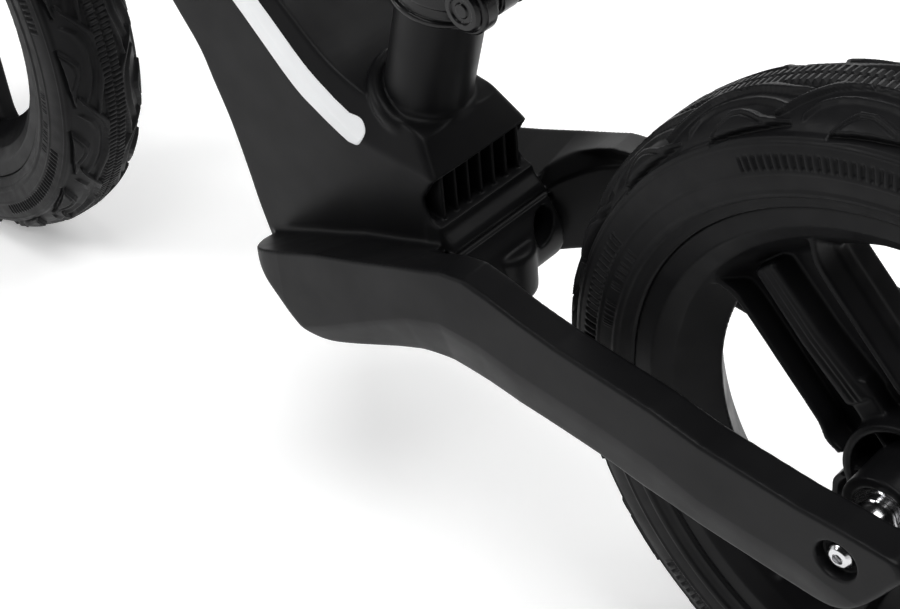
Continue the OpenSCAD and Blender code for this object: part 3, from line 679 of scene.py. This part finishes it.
def lug_height(a, u):
    """Ridge, facet and knob of one lug, above the valley floor. a is millimetres, u is degrees."""
    middle, on = curve(RIDGE, u)
    width = np.interp(u, [-13, -8, -3, 3, 11.5], [0.6, 1.5, 2.2, 2.2, 0.8])
    ridge = on * band(a - middle, -width - 0.4, width * 0.5, 1.0) * 2.3
    middle, on = curve(FACET, u)
    facet = on * np.clip(1 - np.abs(a - middle) / 2.4, 0, 1) * 1.3
    top, on = curve(KNOB_TOP, u)
    foot, _ = curve(KNOB_FOOT, u)
    knob = on * band(a, top, foot, 1.0) * (2.2 - 1.0 * band(a - top, 1.9, 2.7, 0.5))
    crescent = on * np.clip(1 - np.abs(a - foot - 0.9) / 1.5, 0, 1) * 1.9
    return np.maximum(np.maximum(ridge, facet), knob) - crescent


def tread_height(s, turn):
    """How far the tyre stands out at arc distance s from its centre line, in millimetres."""
    a = np.abs(s)
    shifted = np.degrees(turn) - LUG_MIDDLE - np.where(s < 0, LUG / 2, 0)
    u = (shifted + LUG / 2) % LUG - LUG / 2
    # Lugs lie on a floor that rises again at the sidewall
    floor = -2.2 + 1.5 * step_up(a - 26.5, 1.5)
    lugs = np.maximum(np.maximum(lug_height(a, u), lug_height(a, u - LUG)), lug_height(a, u + LUG))
    crescents = np.minimum(np.minimum(lug_height(a, u), lug_height(a, u - LUG)), lug_height(a, u + LUG))
    height = floor + np.where(crescents < 0, np.where(lugs > 0.05, lugs, crescents), lugs)
    height = np.where(a < 28.5, height, floor)
    # Knurled band along the centre, in two rows of short bars
    bars = 320
    tick = np.abs((turn * bars / (2 * math.pi) + np.where(s < 0, 0.5, 0)) % 1.0 - 0.5)
    knurl = -1.3 + 1.3 * step_up(tick - 0.2, 0.1) * step_up(a - 0.4, 0.3)
    return np.where(a < 5.0, knurl, np.where(a < 5.8, np.maximum(height, -1.6), height))


def wall_height(s, turn):
    """Rings, combs and a row of plain bars on the sidewall, in millimetres."""
    a, degrees = np.abs(s), np.degrees(turn)
    rings = (0.45 * band(a, 29.2, 29.9, 0.4) + 0.45 * band(a, 39.4, 40.2, 0.4)
             + 0.7 * band(a, 46.6, 49.0, 0.6))
    teeth = 260
    tooth = step_up(np.abs((turn * teeth / (2 * math.pi)) % 1.0 - 0.5) - 0.24, 0.2)
    along = (degrees - 60) % 72
    comb = band(a, 33.6, 38.4, 0.4) * band(along, 0, 40, 0.4) * (1.2 * tooth - 0.9)
    places = np.random.default_rng(7).permutation(np.repeat([0.0, 1.0], 24))
    cell = ((degrees % 90) * 1.7).astype(int)
    on = np.where(cell < len(places), places[np.minimum(cell, len(places) - 1)], 0)
    bars = 0.35 * on * band(a, 42.0, 45.6, 0.4) * band((degrees * 1.7) % 1.0, 0.2, 0.8, 0.15)
    return rings + comb + bars * band(degrees % 90, 8, 36, 0.4)


def tyre_section():
    """Outer outline of the tyre from one bead to the other: arc place, radius and y, evenly spaced."""
    half_w, depth, squareness = 25.9, 22.4, 2.5
    t = np.linspace(-2.5, 2.5, 4000)
    y = half_w * np.sign(np.sin(t)) * np.abs(np.sin(t)) ** (2 / squareness)
    r = WHEEL_R - 0.3 - depth + depth * np.sign(np.cos(t)) * np.abs(np.cos(t)) ** (2 / squareness)
    keep = r > 113.3
    y, r = y[keep], r[keep]
    arc = np.concatenate([[0], np.cumsum(np.hypot(np.diff(y), np.diff(r)))])
    arc -= arc[-1] / 2
    even = np.linspace(arc[0], arc[-1], ACROSS)
    return even, np.interp(even, arc, r), np.interp(even, arc, y)


def tyre_mesh(name):
    s, r, y = tyre_section()
    dr, dy = np.gradient(r), np.gradient(y)
    length = np.hypot(dr, dy)
    out_r, out_y = dy / length, -dr / length
    turn = np.arange(AROUND) * 2 * math.pi / AROUND
    height = tread_height(s[None, :], turn[:, None]) + wall_height(s[None, :], turn[:, None])
    fade = np.clip((len(s) / 2 - np.abs(np.arange(len(s)) - len(s) / 2 + 0.5)) / 4, 0, 1)
    height = height * fade
    radius = r[None, :] + out_r[None, :] * height
    side = y[None, :] + out_y[None, :] * height
    # The bead and the hollow inside close the section
    inside = np.array([(112.9, 18.6), (104, 17.6), (102.8, 16), (102.8, 11), (113, 12), (121, 19),
                       (130, 20.5), (138, 17), (141, 8)])
    inner_r = np.concatenate([inside[:, 0], inside[::-1, 0]])
    inner_y = np.concatenate([inside[:, 1], -inside[::-1, 1]])
    radius = np.concatenate([radius, np.tile(inner_r, (AROUND, 1))], axis=1)
    side = np.concatenate([side, np.tile(inner_y, (AROUND, 1))], axis=1)
    points = np.stack([radius * np.cos(turn)[:, None], side, radius * np.sin(turn)[:, None]], axis=2)
    n = radius.shape[1]
    ring = np.arange(AROUND)[:, None] * n
    ring_next = ((np.arange(AROUND) + 1) % AROUND)[:, None] * n
    i, j = np.arange(n)[None, :], ((np.arange(n) + 1) % n)[None, :]
    quads = np.stack([ring + i, ring + j, ring_next + j, ring_next + i], axis=2).reshape(-1, 4)
    return new_mesh(name, points.reshape(-1, 3) * MM, quads)


def build_tyre(which, centre):
    tyre = tyre_mesh(which + "_tyre_rubber")
    tyre.data.transform(Matrix.Translation(Vector(centre) * MM))
    dress(tyre, which + "_wheel_set", "tyre_rubber", which + "_tyre")


# ---- axle bolts ----

def build_axle_bolts(which, centre, body):
    """Domed socket bolts, in the recesses at the ends of the stays or of the fork."""
    f = Field((-7, -7, 34), (7, 7, 58), SMALL_STEP)
    outline = [(-1, 56.9), (1.8, 56.8), (3.6, 56.2), (4.9, 55), (5.6, 53.4), (5.6, 52.6), (3, 52.6),
               (3, 35), (-1, 35)]
    solid = outline_distance(outline, np.hypot(f.x, f.y) + 0 * f.z, f.z + 0 * f.x)
    skewed = np.maximum(np.abs(f.x / 2 + f.y * 0.866), np.abs(f.x / 2 - f.y * 0.866))
    socket = np.maximum(np.abs(f.x), skewed) - 1.9
    solid = cut(solid, meet(socket, 54.6 - f.z))
    for side, angle in (("left", -90), ("right", 90)):
        place = Matrix.Translation(Vector(centre) * MM) @ turn(angle, "X")
        nodes = [which + "_axle_bolts"] if side == "left" else []
        cast(f"{which}_axle_bolt_{side}", f, solid, place, body, "polished_steel", *nodes, half=False)


# ---- fork ----

FINE_STEP = 0.45
SMALL_STEP = 0.3
RAKE = float(np.hypot(*(FRONT_AXLE - STEER_FOOT)[[0, 2]]))


def build_fork():
    """Two blades under a crown, in the steering's axes."""
    f = Field((-26, 0, -16), (RAKE + 16, 60, 188), FRAME_STEP)
    edge = flowing([(15, 190), (17, 160), (20, 130), (25, 90), (33, 40), (38, 8), (38.5, -1), (35, -9.5),
                    (25, -14), (15, -9.8), (11.3, -1), (10.5, 10), (5, 50), (-4, 95), (-12, 130),
                    (-17.5, 158), (-17, 190)])
    blade = outline_distance(edge, f.x, f.z)
    crowning = 0.03 * np.clip(8 + blade, 0, 8) ** 2
    solid = meet(blade, slab(f.y, STAY_IN + 0.2, STAY_OUT - crowning), 2.5)
    crown = meet(meet(slab(f.x, -17, 15), f.y - 50, 4), slab(f.z, 162, 184), 5)
    boss = meet(np.hypot(f.x, f.y) - 20.5, slab(f.z, 160.5, 186), 2)
    solid = join(solid, join(crown, boss, 5), 12)
    solid = meet(solid, meet(f.y - STAY_OUT, f.z - 186, 22))
    solid = cut(solid, meet(np.hypot(f.x, f.y) - 14.3, 150 - f.z))
    axle = np.hypot(f.x - RAKE, f.z)
    solid = cut(solid, axle - 3.3)
    solid = cut(solid, meet(axle - 8, 52.5 - f.y), 0.8)
    cast("fork_casting", f, solid, STEERING, "steering", "frame_paint", "fork")


def build_headset_covers():
    """The cap over the upper headset bearing and the spacer above it."""
    cover = [(14.4, 267.1), (17.2, 267.1), (17.2, 267.7), (23.4, 267.7), (24, 268.4), (24, 270),
             (22.6, 272.4), (20, 273.9), (14.4, 273.9)]
    spacer = [(14.4, 274.05), (18.4, 274.05), (19, 274.7), (19, 278), (18.5, 278.5), (19, 279), (19, 282.3),
              (18.4, 282.95), (14.4, 282.95)]
    turned("headset_cap", cover, STEERING, SMALL_STEP, "steering", "black_anodised", "headset_cover")
    turned("spacer_ring", spacer, STEERING, SMALL_STEP, "steering", "black_anodised", "steerer_spacer")


# ---- handlebar ----

BAR_N, BAR_S, BAR_R = 24, 438, 11.1
GRIP_START = 102
BAR_CENTRE, BAR_RISE, BEND_R, BEND_ANGLE, SWEEP = 38, 32, 45, 34, 12


def grip_place():
    """The axes of the left grip, with z outwards along the bar and the origin at the bar's end."""
    lean = math.degrees(math.atan2(-STEER_AXIS[0], STEER_AXIS[2]))
    bend_x = BEND_R * (1 - math.cos(math.radians(BEND_ANGLE)))
    bend_z = BEND_R * math.sin(math.radians(BEND_ANGLE))
    bend = Matrix.Translation(Vector((bend_x, 0, bend_z)) * MM) @ turn(BEND_ANGLE, "Y")

    def ahead(length):
        return Matrix.Translation((0, 0, length * MM))

    middle = STEERING @ Matrix.Translation(Vector((BAR_N, 0, BAR_S)) * MM) @ turn(lean, "Y")
    start = middle @ turn(-90, "X") @ turn(-90 - SWEEP, "Z") @ ahead(BAR_CENTRE) @ bend @ ahead(BAR_RISE)
    return start @ turn(180, "Z") @ bend @ turn(180, "Z") @ ahead(GRIP_START)


def build_grips():
    """Soft grips with ribs that two smooth strips interrupt, a flange and a domed end."""
    f = Field((-22.5, -22.5, -103), (22.5, 22.5, 7), 0.5)
    r = np.hypot(f.x, f.y)
    round_about = np.arctan2(f.y, f.x) + 0 * f.z
    rib = 0.5 + 0.5 * np.cos(2 * math.pi * f.z / 4.8)
    strip = np.clip(np.cos(2 * round_about) * 4 - 2.6, 0, 1)
    body = meet(r - 13.2 - 1.3 * rib ** 2 * (1 - strip), slab(f.z, -99, -1))
    smooth = meet(r - 13.9, np.minimum(slab(f.z, -100, -90), slab(f.z, -9, 0)), 1)
    flange = meet(r - 21, slab(f.z, -101, -97.6), 1.6)
    end = meet(meet(r - 16, slab(f.z, -2.5, 5), 2.5), np.hypot(r, f.z + 31) - 36)
    solid = join(join(join(body, smooth, 1.0), flange, 3), end, 1.5)
    solid = cut(solid, meet(r - BAR_R - 0.05, f.z - 0.5))
    mirror = Matrix.Scale(-1, 4, (0, 1, 0))
    for side in ("left", "right"):
        grip = cast(side + "_grip_ribbed", f, solid, grip_place(), "bar_set", "grip_rubber",
                    side + "_grip", half=False)
        if side == "right":
            grip.data.transform(mirror)
            grip.data.flip_normals()


def build_stem():
    """Quill stem, its face plate and the collar that holds it."""
    f = Field((-17.5, 0, 197), (41, 20.5, 462), FINE_STEP)
    r = np.hypot(f.x, f.y)
    bar = np.hypot(f.x - BAR_N, f.z - BAR_S)
    bolt = np.hypot(f.y - 13, np.abs(f.z - BAR_S) - 16)
    quill = meet(r - 12.7, slab(f.z, 198, 424), 0.6)
    collar = meet(r - 16, slab(f.z, 404, 440), 2)
    head = meet(meet(slab(f.x, -8, BAR_N), f.y - 19, 3), slab(f.z, 417, 459), 3)
    stem = join(join(quill, collar, 2), meet(head, np.hypot(f.x - 10, f.z - 438) - 26.5, 3), 4)
    stem = cut(cut(cut(stem, bar - BAR_R), bolt - 2.55), meet(r - 10.5, f.z - 415))
    cast("stem_forging", f, stem, STEERING, "bar_set", "black_anodised", "handlebar_stem")
    plate = meet(meet(slab(f.x, BAR_N + 0.6, 38.6), f.y - 19, 3), slab(f.z, 417, 459), 3)
    plate = meet(plate, bar - 22.5, 3)
    plate = cut(cut(plate, bar - BAR_R), bolt - 2.65)
    plate = cut(plate, meet(bolt - 4.6, BAR_N + 10 - f.x), 0.5)
    plate = cut(plate, meet(meet(f.y - 7, slab(f.z, 429, 447), 3), 36.4 - f.x, 0.5), 0.8)
    cast("stem_plate", f, plate, STEERING, "bar_set", "black_anodised", "stem_face_plate")
    f = Field((-33, 0, 281.5), (21, 21, 309.5), FINE_STEP)
    r = np.hypot(f.x, f.y)
    ring = meet(r - 19.5, slab(f.z, 283, 308), 1.4)
    ring = cut(ring, np.hypot(r - 20.2, f.z - 295.5) - 1.6, 0.5)
    ears = meet(meet(np.hypot(f.x + 23.5, f.z - 295.5) - 8, f.y - 9, 1.5), f.x + 12)
    web = meet(meet(slab(f.x, -24, -12), f.y - 9), slab(f.z, 288, 303), 1.5)
    solid = cut(join(ring, join(ears, web, 2), 3), r - 14.35)
    solid = cut(cut(solid, meet(f.y - 1.25, f.x + 8)), np.hypot(f.x + 25, f.z - 295.5) - 2.6)
    cast("bar_collar", f, solid, STEERING, "steering", "black_anodised", "handlebar_clamp")


# ---- seat clamp ----

SKEWER_X, SKEWER_S = -27, 89
CAM_Y = -20


def clamp_axes():
    """The seat axis's frame, turned so that its -x points to the clamp's slit."""
    pin = SEATING.inverted() @ Vector(joint("seat_clamp_lever_turn")["pos_m"])
    angle = math.degrees(math.atan2(pin.y, pin.x) - math.atan2(CAM_Y, SKEWER_X))
    return SEATING @ turn(angle, "Z")


CLAMP = clamp_axes()


def build_seat_clamp():
    f = Field((-38, 0, 65.5), (24, 24, 102.5), FINE_STEP)
    r = np.hypot(f.x, f.y)
    collar = join(meet(r - 22, slab(f.z, 75, 101), 1.6), meet(r - 20.3, slab(f.z, 68, 100)), 0.4)
    collar = join(collar, meet(r - 22, slab(f.z, 67, 69.8), 1.2), 0.6)
    collar = cut(collar, np.hypot(r - 22.3, f.z - 96.5) - 0.8, 0.3)
    skewer = np.hypot(f.x - SKEWER_X, f.z - SKEWER_S)
    ears = meet(skewer - 8.3, f.y - 11, 1.4)
    web = meet(meet(slab(f.x, SKEWER_X, -14), f.y - 11, 1), slab(f.z, 81, 97), 1.5)
    solid = cut(join(collar, join(ears, web, 2), 3), r - 17.8)
    solid = cut(cut(solid, meet(f.y - 1.5, f.x + 10)), skewer - 2.8)
    cast("clamp_collar", f, solid, CLAMP, "chassis", "black_anodised", "seat_clamp")
    nut = [(-1, 24.2), (2.6, 24.2), (3.2, 23.5), (4.8, 23.5), (5.4, 24.3), (7.4, 24.2), (8.6, 23.2),
           (8.9, 22.3), (10, 21.9), (10.5, 21.2), (10.5, 16), (9.8, 15.1), (7.2, 14.8), (7, 11.2),
           (2.6, 11.2), (2.6, 23), (-1, 23)]
    place = CLAMP @ Matrix.Translation(Vector((SKEWER_X, 0, SKEWER_S)) * MM) @ turn(-90, "X")
    turned("clamp_nut", nut, place, 0.2, "chassis", "black_anodised", "seat_clamp_nut")


def build_lever():
    """The curved lever, in axes at its cam pin."""
    f = Field((-8, -11.5, -9.5), (58.5, 8, 9.5), SMALL_STEP)
    cam = meet(np.hypot(f.x, f.y) - 6, slab(f.z, -8, 8), 1)
    edge = flowing([(1, -3.0), (14, -3.6), (30, -3.0), (44, -1.6), (54, -0.6), (57.4, -3.6), (55.5, -8.2),
                    (44, -8.6), (30, -8.6), (12, -8.3), (1, -7.5), (1, -3.0)])
    plan = outline_distance(edge, f.x, f.y)
    half = np.interp(f.x, [0, 8, 30, 50, 58], [6, 5.6, 4.6, 6.2, 5])
    arm = meet(plan, np.abs(f.z) - half, 1.8)
    arm = cut(arm, meet(meet(slab(f.x, 14, 46), np.abs(f.z) - half + 2, 1), f.y + 8.0), 0.5)
    solid = cut(join(cam, arm, 2), meet(meet(slab(f.x, -9, 4.4), -6.9 - f.y), np.abs(f.z) - 2.8))
    solid = cut(solid, np.hypot(f.x, f.y) - 2.02)
    place = CLAMP @ Matrix.Translation(Vector((SKEWER_X, CAM_Y, SKEWER_S)) * MM)
    cast("clamp_lever", f, solid, place, "quick_release", "black_anodised",
         "seat_clamp_lever", half=False)


# ---- saddle ----

SADDLE_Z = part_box("saddle_base")[0][2] / MM
SADDLE_SIDE = flowing([(3, 0), (1, 9), (-6, 16.5), (-18, 21), (-38, 23), (-60, 26), (-82, 32),
                       (-102, 41), (-122, 51), (-142, 58.5), (-162, 62.5), (-180, 61.5), (-196, 53),
                       (-209, 37), (-216.5, 18), (-218.5, 0)])
SADDLE_PLAN = SADDLE_SIDE + [(x, -y) for x, y in SADDLE_SIDE[-2:0:-1]]


def saddle_top(x):
    return SADDLE_Z + np.interp(x, [-219, -200, -170, -130, -90, -50, -15, 3],
                                [37, 41, 40, 34.5, 31.5, 32, 31, 24])


def build_saddle_base():
    f = Field((-222, 0, SADDLE_Z - 3), (6, 66, SADDLE_Z + 13), 0.8)
    plan = outline_distance(SADDLE_PLAN, f.x, f.y)
    base = meet(plan - 0.8, slab(f.z, SADDLE_Z, SADDLE_Z + 8), 3)
    base = cut(base, meet(plan + 6, f.z - SADDLE_Z - 2.5, 2), 1)
    rib = np.minimum(np.abs(f.y - 30) - 1.2, np.abs((f.x + 10) % 32 - 16) - 1.2)
    base = join(base, meet(meet(rib, plan + 4), slab(f.z, SADDLE_Z + 0.5, SADDLE_Z + 6)), 1)
    pad = meet(meet(slab(f.x, -142, -74), f.y - 22), slab(f.z, SADDLE_Z, SADDLE_Z + 6))
    base = join(base, pad, 1)
    level = Matrix.Identity(4)
    cast("saddle_shell", f, base, level, "seat_set", "black_plastic", "saddle_base")
    f = Field((-146, 0, 305), (-66, 26, SADDLE_Z + 2), FINE_STEP)
    across, along = seat_tube_around(f)
    socket = rod(across, along, 17.6, 118, 142, 1.5)
    plate = meet(meet(slab(f.x, -140, -76), f.y - 20, 4), slab(f.z, SADDLE_Z - 10, SADDLE_Z - 0.1), 1.5)
    gusset = meet(meet(slab(f.x, -132, -84), f.y - 2.5, 1), slab(f.z, SADDLE_Z - 24, SADDLE_Z - 5), 3)
    solid = join(join(socket, plate, 8), gusset, 3)
    solid = meet(solid, f.z - SADDLE_Z + 0.1)
    solid = cut(solid, rod(across, along, 13.6, 100, 140, 0))
    screws = np.hypot(np.abs(f.x + 108) - 24, f.y - 13)
    solid = cut(solid, screws - 2.1)
    cast("saddle_socket", f, solid, level, "seat_set", "black_anodised",
         "saddle_bracket")


def inflate(pad, held_below, most, frames=20):
    """Swells a closed mesh with cloth pressure. Points below a height stay, others move a little."""
    start = np.empty(3 * len(pad.data.vertices), np.float32)
    pad.data.vertices.foreach_get("co", start)
    start = start.reshape(-1, 3)
    held = pad.vertex_groups.new(name="held")
    held.add([int(i) for i in np.nonzero(start[:, 2] < held_below)[0]], 1.0, "REPLACE")
    cloth = pad.modifiers.new("pressure", "CLOTH")
    cloth.settings.use_pressure = True
    cloth.settings.uniform_pressure_force = 4
    cloth.settings.vertex_group_mass = "held"
    cloth.settings.effector_weights.gravity = 0
    cloth.point_cache.frame_end = frames
    scene = bpy.context.scene
    for step in range(1, frames + 1):
        scene.frame_set(step)
    swollen = pad.evaluated_get(bpy.context.evaluated_depsgraph_get()).data
    end = np.empty_like(start).ravel()
    swollen.vertices.foreach_get("co", end)
    move = end.reshape(-1, 3) - start
    length = np.linalg.norm(move, axis=1, keepdims=True)
    move *= np.minimum(1, most / np.maximum(length, 1e-9))
    pad.modifiers.remove(cloth)
    pad.vertex_groups.clear()
    pad.data.vertices.foreach_set("co", (start + move).ravel())
    scene.frame_set(1)


def subdivided(piece, levels):
    """Applies a subdivision surface."""
    piece.modifiers.new("smooth", "SUBSURF").levels = levels
    deps = bpy.context.evaluated_depsgraph_get()
    mesh = bpy.data.meshes.new_from_object(piece.evaluated_get(deps))
    piece.modifiers.clear()
    piece.data = mesh


def seam_path(inset):
    """The saddle's outline, moved in by a distance, as evenly spaced points."""
    p = np.array(SADDLE_PLAN)
    along = np.roll(p, -1, axis=0) - np.roll(p, 1, axis=0)
    along /= np.linalg.norm(along, axis=1, keepdims=True)
    moved = p + inset * np.stack([-along[:, 1], along[:, 0]], axis=1) * seam_side(p, along)
    gaps = np.linalg.norm(np.diff(np.vstack([moved, moved[:1]]), axis=0), axis=1)
    arc = np.concatenate([[0], np.cumsum(gaps)])
    closed = np.vstack([moved, moved[:1]])
    even = np.arange(0, arc[-1], 4.6)
    return np.stack([np.interp(even, arc, closed[:, i]) for i in (0, 1)], axis=1)


def seam_side(p, along):
    """1 where the left of the path is the saddle's inside, else -1."""
    area = np.sum(p[:, 0] * np.roll(p[:, 1], -1) - np.roll(p[:, 0], -1) * p[:, 1])
    return 1.0 if area > 0 else -1.0


def build_saddle_pad():
    inset = 2.5
    f = Field((-226, -70, SADDLE_Z), (10, 70, SADDLE_Z + 50), 4.5)
    plan = outline_distance(SADDLE_PLAN, f.x, f.y)
    dish = 0.0016 * f.y ** 2
    top = f.z - saddle_top(f.x) + 5 + dish
    solid = meet(meet(plan + inset, top, 13), SADDLE_Z + 8.4 - f.z, 2)
    pad = f.mesh("saddle_cushion", solid)
    inflate(pad, (SADDLE_Z + 11) * MM, 0.004)
    subdivided(pad, 2)
    points = np.empty(3 * len(pad.data.vertices), np.float32)
    pad.data.vertices.foreach_get("co", points)
    points = points.reshape(-1, 3)
    edge = -outline_distance(SADDLE_PLAN, points[:, 0] / MM, points[:, 1] / MM)
    high = points[:, 2] > (SADDLE_Z + 16) * MM
    groove = 0.0016 * np.exp(-((edge - 17.5) / 1.5) ** 2) * high
    waist = np.clip(1 - np.abs(points[:, 2] / MM - SADDLE_Z - 8.6) / 2.5, 0, 1) * 0.0008
    points[:, 2] -= groove
    points[:, 1] *= 1 - waist / np.maximum(np.abs(points[:, 1]), 0.02)
    pad.data.vertices.foreach_set("co", points.ravel())
    pad.data.polygons.foreach_set("use_smooth", np.ones(len(pad.data.polygons), bool))
    dress(pad, "seat_set", "saddle_cover", "saddle_pad")
    build_stitches(pad)


def build_stitches(pad):
    """Thread stitches on both sides of the seam, each a short arched tube."""
    bpy.context.view_layer.update()
    points, quads = [], []
    for inset in (14.9, 20.1):
        path = seam_path(inset)
        ahead = np.roll(path, -1, axis=0) - path
        ahead /= np.linalg.norm(ahead, axis=1, keepdims=True)
        for (x, y), (u, v) in zip(path, ahead):
            hit, spot, normal, _ = pad.ray_cast(Vector((x * MM, y * MM, 0.6)), Vector((0, 0, -1)))
            if hit and normal.z > 0.5:
                add_stitch(points, quads, spot / MM, Vector((u, v, 0)), normal)
    stitches = new_mesh("saddle_stitches", np.array(points) * MM, np.array(quads))
    dress(stitches, "seat_set", "saddle_cover", material="thread")


def add_stitch(points, quads, spot, ahead, normal, length=3.3, radius=0.42, sides=8, rings=7):
    along = (ahead - normal * ahead.dot(normal)).normalized()
    across = normal.cross(along)
    first = len(points)
    for i in range(rings):
        t = 2 * i / (rings - 1) - 1
        size = radius * math.sqrt(max(1 - t ** 4, 0.04))
        middle = spot + along * (t * length / 2) + normal * (0.25 - 0.45 * t * t)
        for j in range(sides):
            a = 2 * math.pi * j / sides
            points.append(middle + across * (size * math.cos(a)) + normal * (size * math.sin(a)))
    for i in range(rings - 1):
        for j in range(sides):
            k = (j + 1) % sides
            corners = (i * sides + j, i * sides + k, (i + 1) * sides + k, (i + 1) * sides + j)
            quads.append([first + c for c in corners])
    for end, order in ((0, (3, 2, 1, 0)), ((rings - 1) * sides, (0, 1, 2, 3))):
        for half in (0, 4):
            quads.append([first + end + (half + c) % sides for c in order])
        quads.append([first + end + c for c in ((7, 4, 3, 0) if end == 0 else (0, 3, 4, 7))])


# ---- studio ----

def build_studio():
    bpy.context.scene.view_settings.view_transform = "Standard"
    bpy.ops.mesh.primitive_plane_add(size=30)
    floor = bpy.context.object
    floor.name = "floor"
    mat = principled("floor_white", (0.92, 0.92, 0.92), 0.9,
                     Emission_Color=(1, 1, 1, 1), Emission_Strength=0.32)
    feed(mat, "Roughness", ramp(mat, noise(mat, 3, 2), 0.85, 0.95))
    floor.data.materials.append(mat)
    build_sky()
    area_light("key", (1.1, 1.3, 1.2), (-0.1, 0, 0.15), 0.5, 11)
    area_light("back", (1.4, -1.6, 1.0), (-0.1, 0, 0.2), 0.9, 12)
    area_light("top", (-0.6, 0.4, 2.3), (-0.1, 0, 0.2), 1.4, 42)
    area_light("crown", (-0.7, -0.9, 1.7), (-0.1, 0, 0.25), 1.0, 14)


def build_sky():
    """Bright near the horizon, dark overhead, like a white cove in a dark room."""
    world = bpy.data.worlds.new("studio")
    bpy.context.scene.world = world
    world.use_nodes = True
    nodes, links = world.node_tree.nodes, world.node_tree.links
    place = nodes.new("ShaderNodeTexCoord")
    split = nodes.new("ShaderNodeSeparateXYZ")
    fade = nodes.new("ShaderNodeMapRange")
    fade.interpolation_type = "SMOOTHSTEP"
    for socket, value in (("From Min", 0.08), ("From Max", 0.26), ("To Min", 0.9), ("To Max", 0.012)):
        fade.inputs[socket].default_value = value
    nodes["Background"].inputs["Color"].default_value = (1, 1, 1, 1)
    links.new(place.outputs["Generated"], split.inputs["Vector"])
    links.new(split.outputs["Z"], fade.inputs["Value"])
    links.new(fade.outputs["Result"], nodes["Background"].inputs["Strength"])


def area_light(name, place, aim, size, power):
    data = bpy.data.lights.new(name, "AREA")
    data.size = size
    data.energy = power
    lamp = bpy.data.objects.new(name, data)
    bpy.context.scene.collection.objects.link(lamp)
    lamp.location = place
    lamp.rotation_euler = (Vector(aim) - Vector(place)).to_track_quat("-Z", "Y").to_euler()
    return lamp


# The photograph's view: azimuth and elevation of the camera, its roll and its place
AZIMUTH, ELEVATION, ROLL = 226.4, 39.2, -5.7
CAMERA_PLACE = (-0.5118, 0.4209, 0.6037)
FOCAL_LENGTH = 72.84


def build_camera():
    a, e, r = (math.radians(v) for v in (AZIMUTH, ELEVATION, ROLL))
    back = Vector((math.sin(a) * math.cos(e), -math.cos(a) * math.cos(e), math.sin(e)))
    right = Vector((math.cos(a), math.sin(a), 0))
    up = back.cross(right)
    turned_right = right * math.cos(r) + up * math.sin(r)
    turned_up = back.cross(turned_right)
    data = bpy.data.cameras.new("camera")
    data.lens = FOCAL_LENGTH
    data.sensor_width = 36
    data.clip_start = 0.01
    camera = bpy.data.objects.new("camera", data)
    bpy.context.scene.collection.objects.link(camera)
    turn = Matrix((turned_right, turned_up, back)).transposed()
    camera.matrix_world = Matrix.Translation(CAMERA_PLACE) @ turn.to_4x4()
    bpy.context.scene.camera = camera


build_frame()
for which, centre, holder in (("rear", REAR_AXLE, "chassis"), ("front", FRONT_AXLE, "steering")):
    build_wheel(which, centre)
    build_tyre(which, centre)
    build_axle_bolts(which, centre, holder)
build_fork()
build_headset_covers()
build_grips()
build_stem()
build_seat_clamp()
build_lever()
build_saddle_base()
build_saddle_pad()
build_studio()
build_camera()
paint_cad_nodes()
bpy.context.view_layer.update()
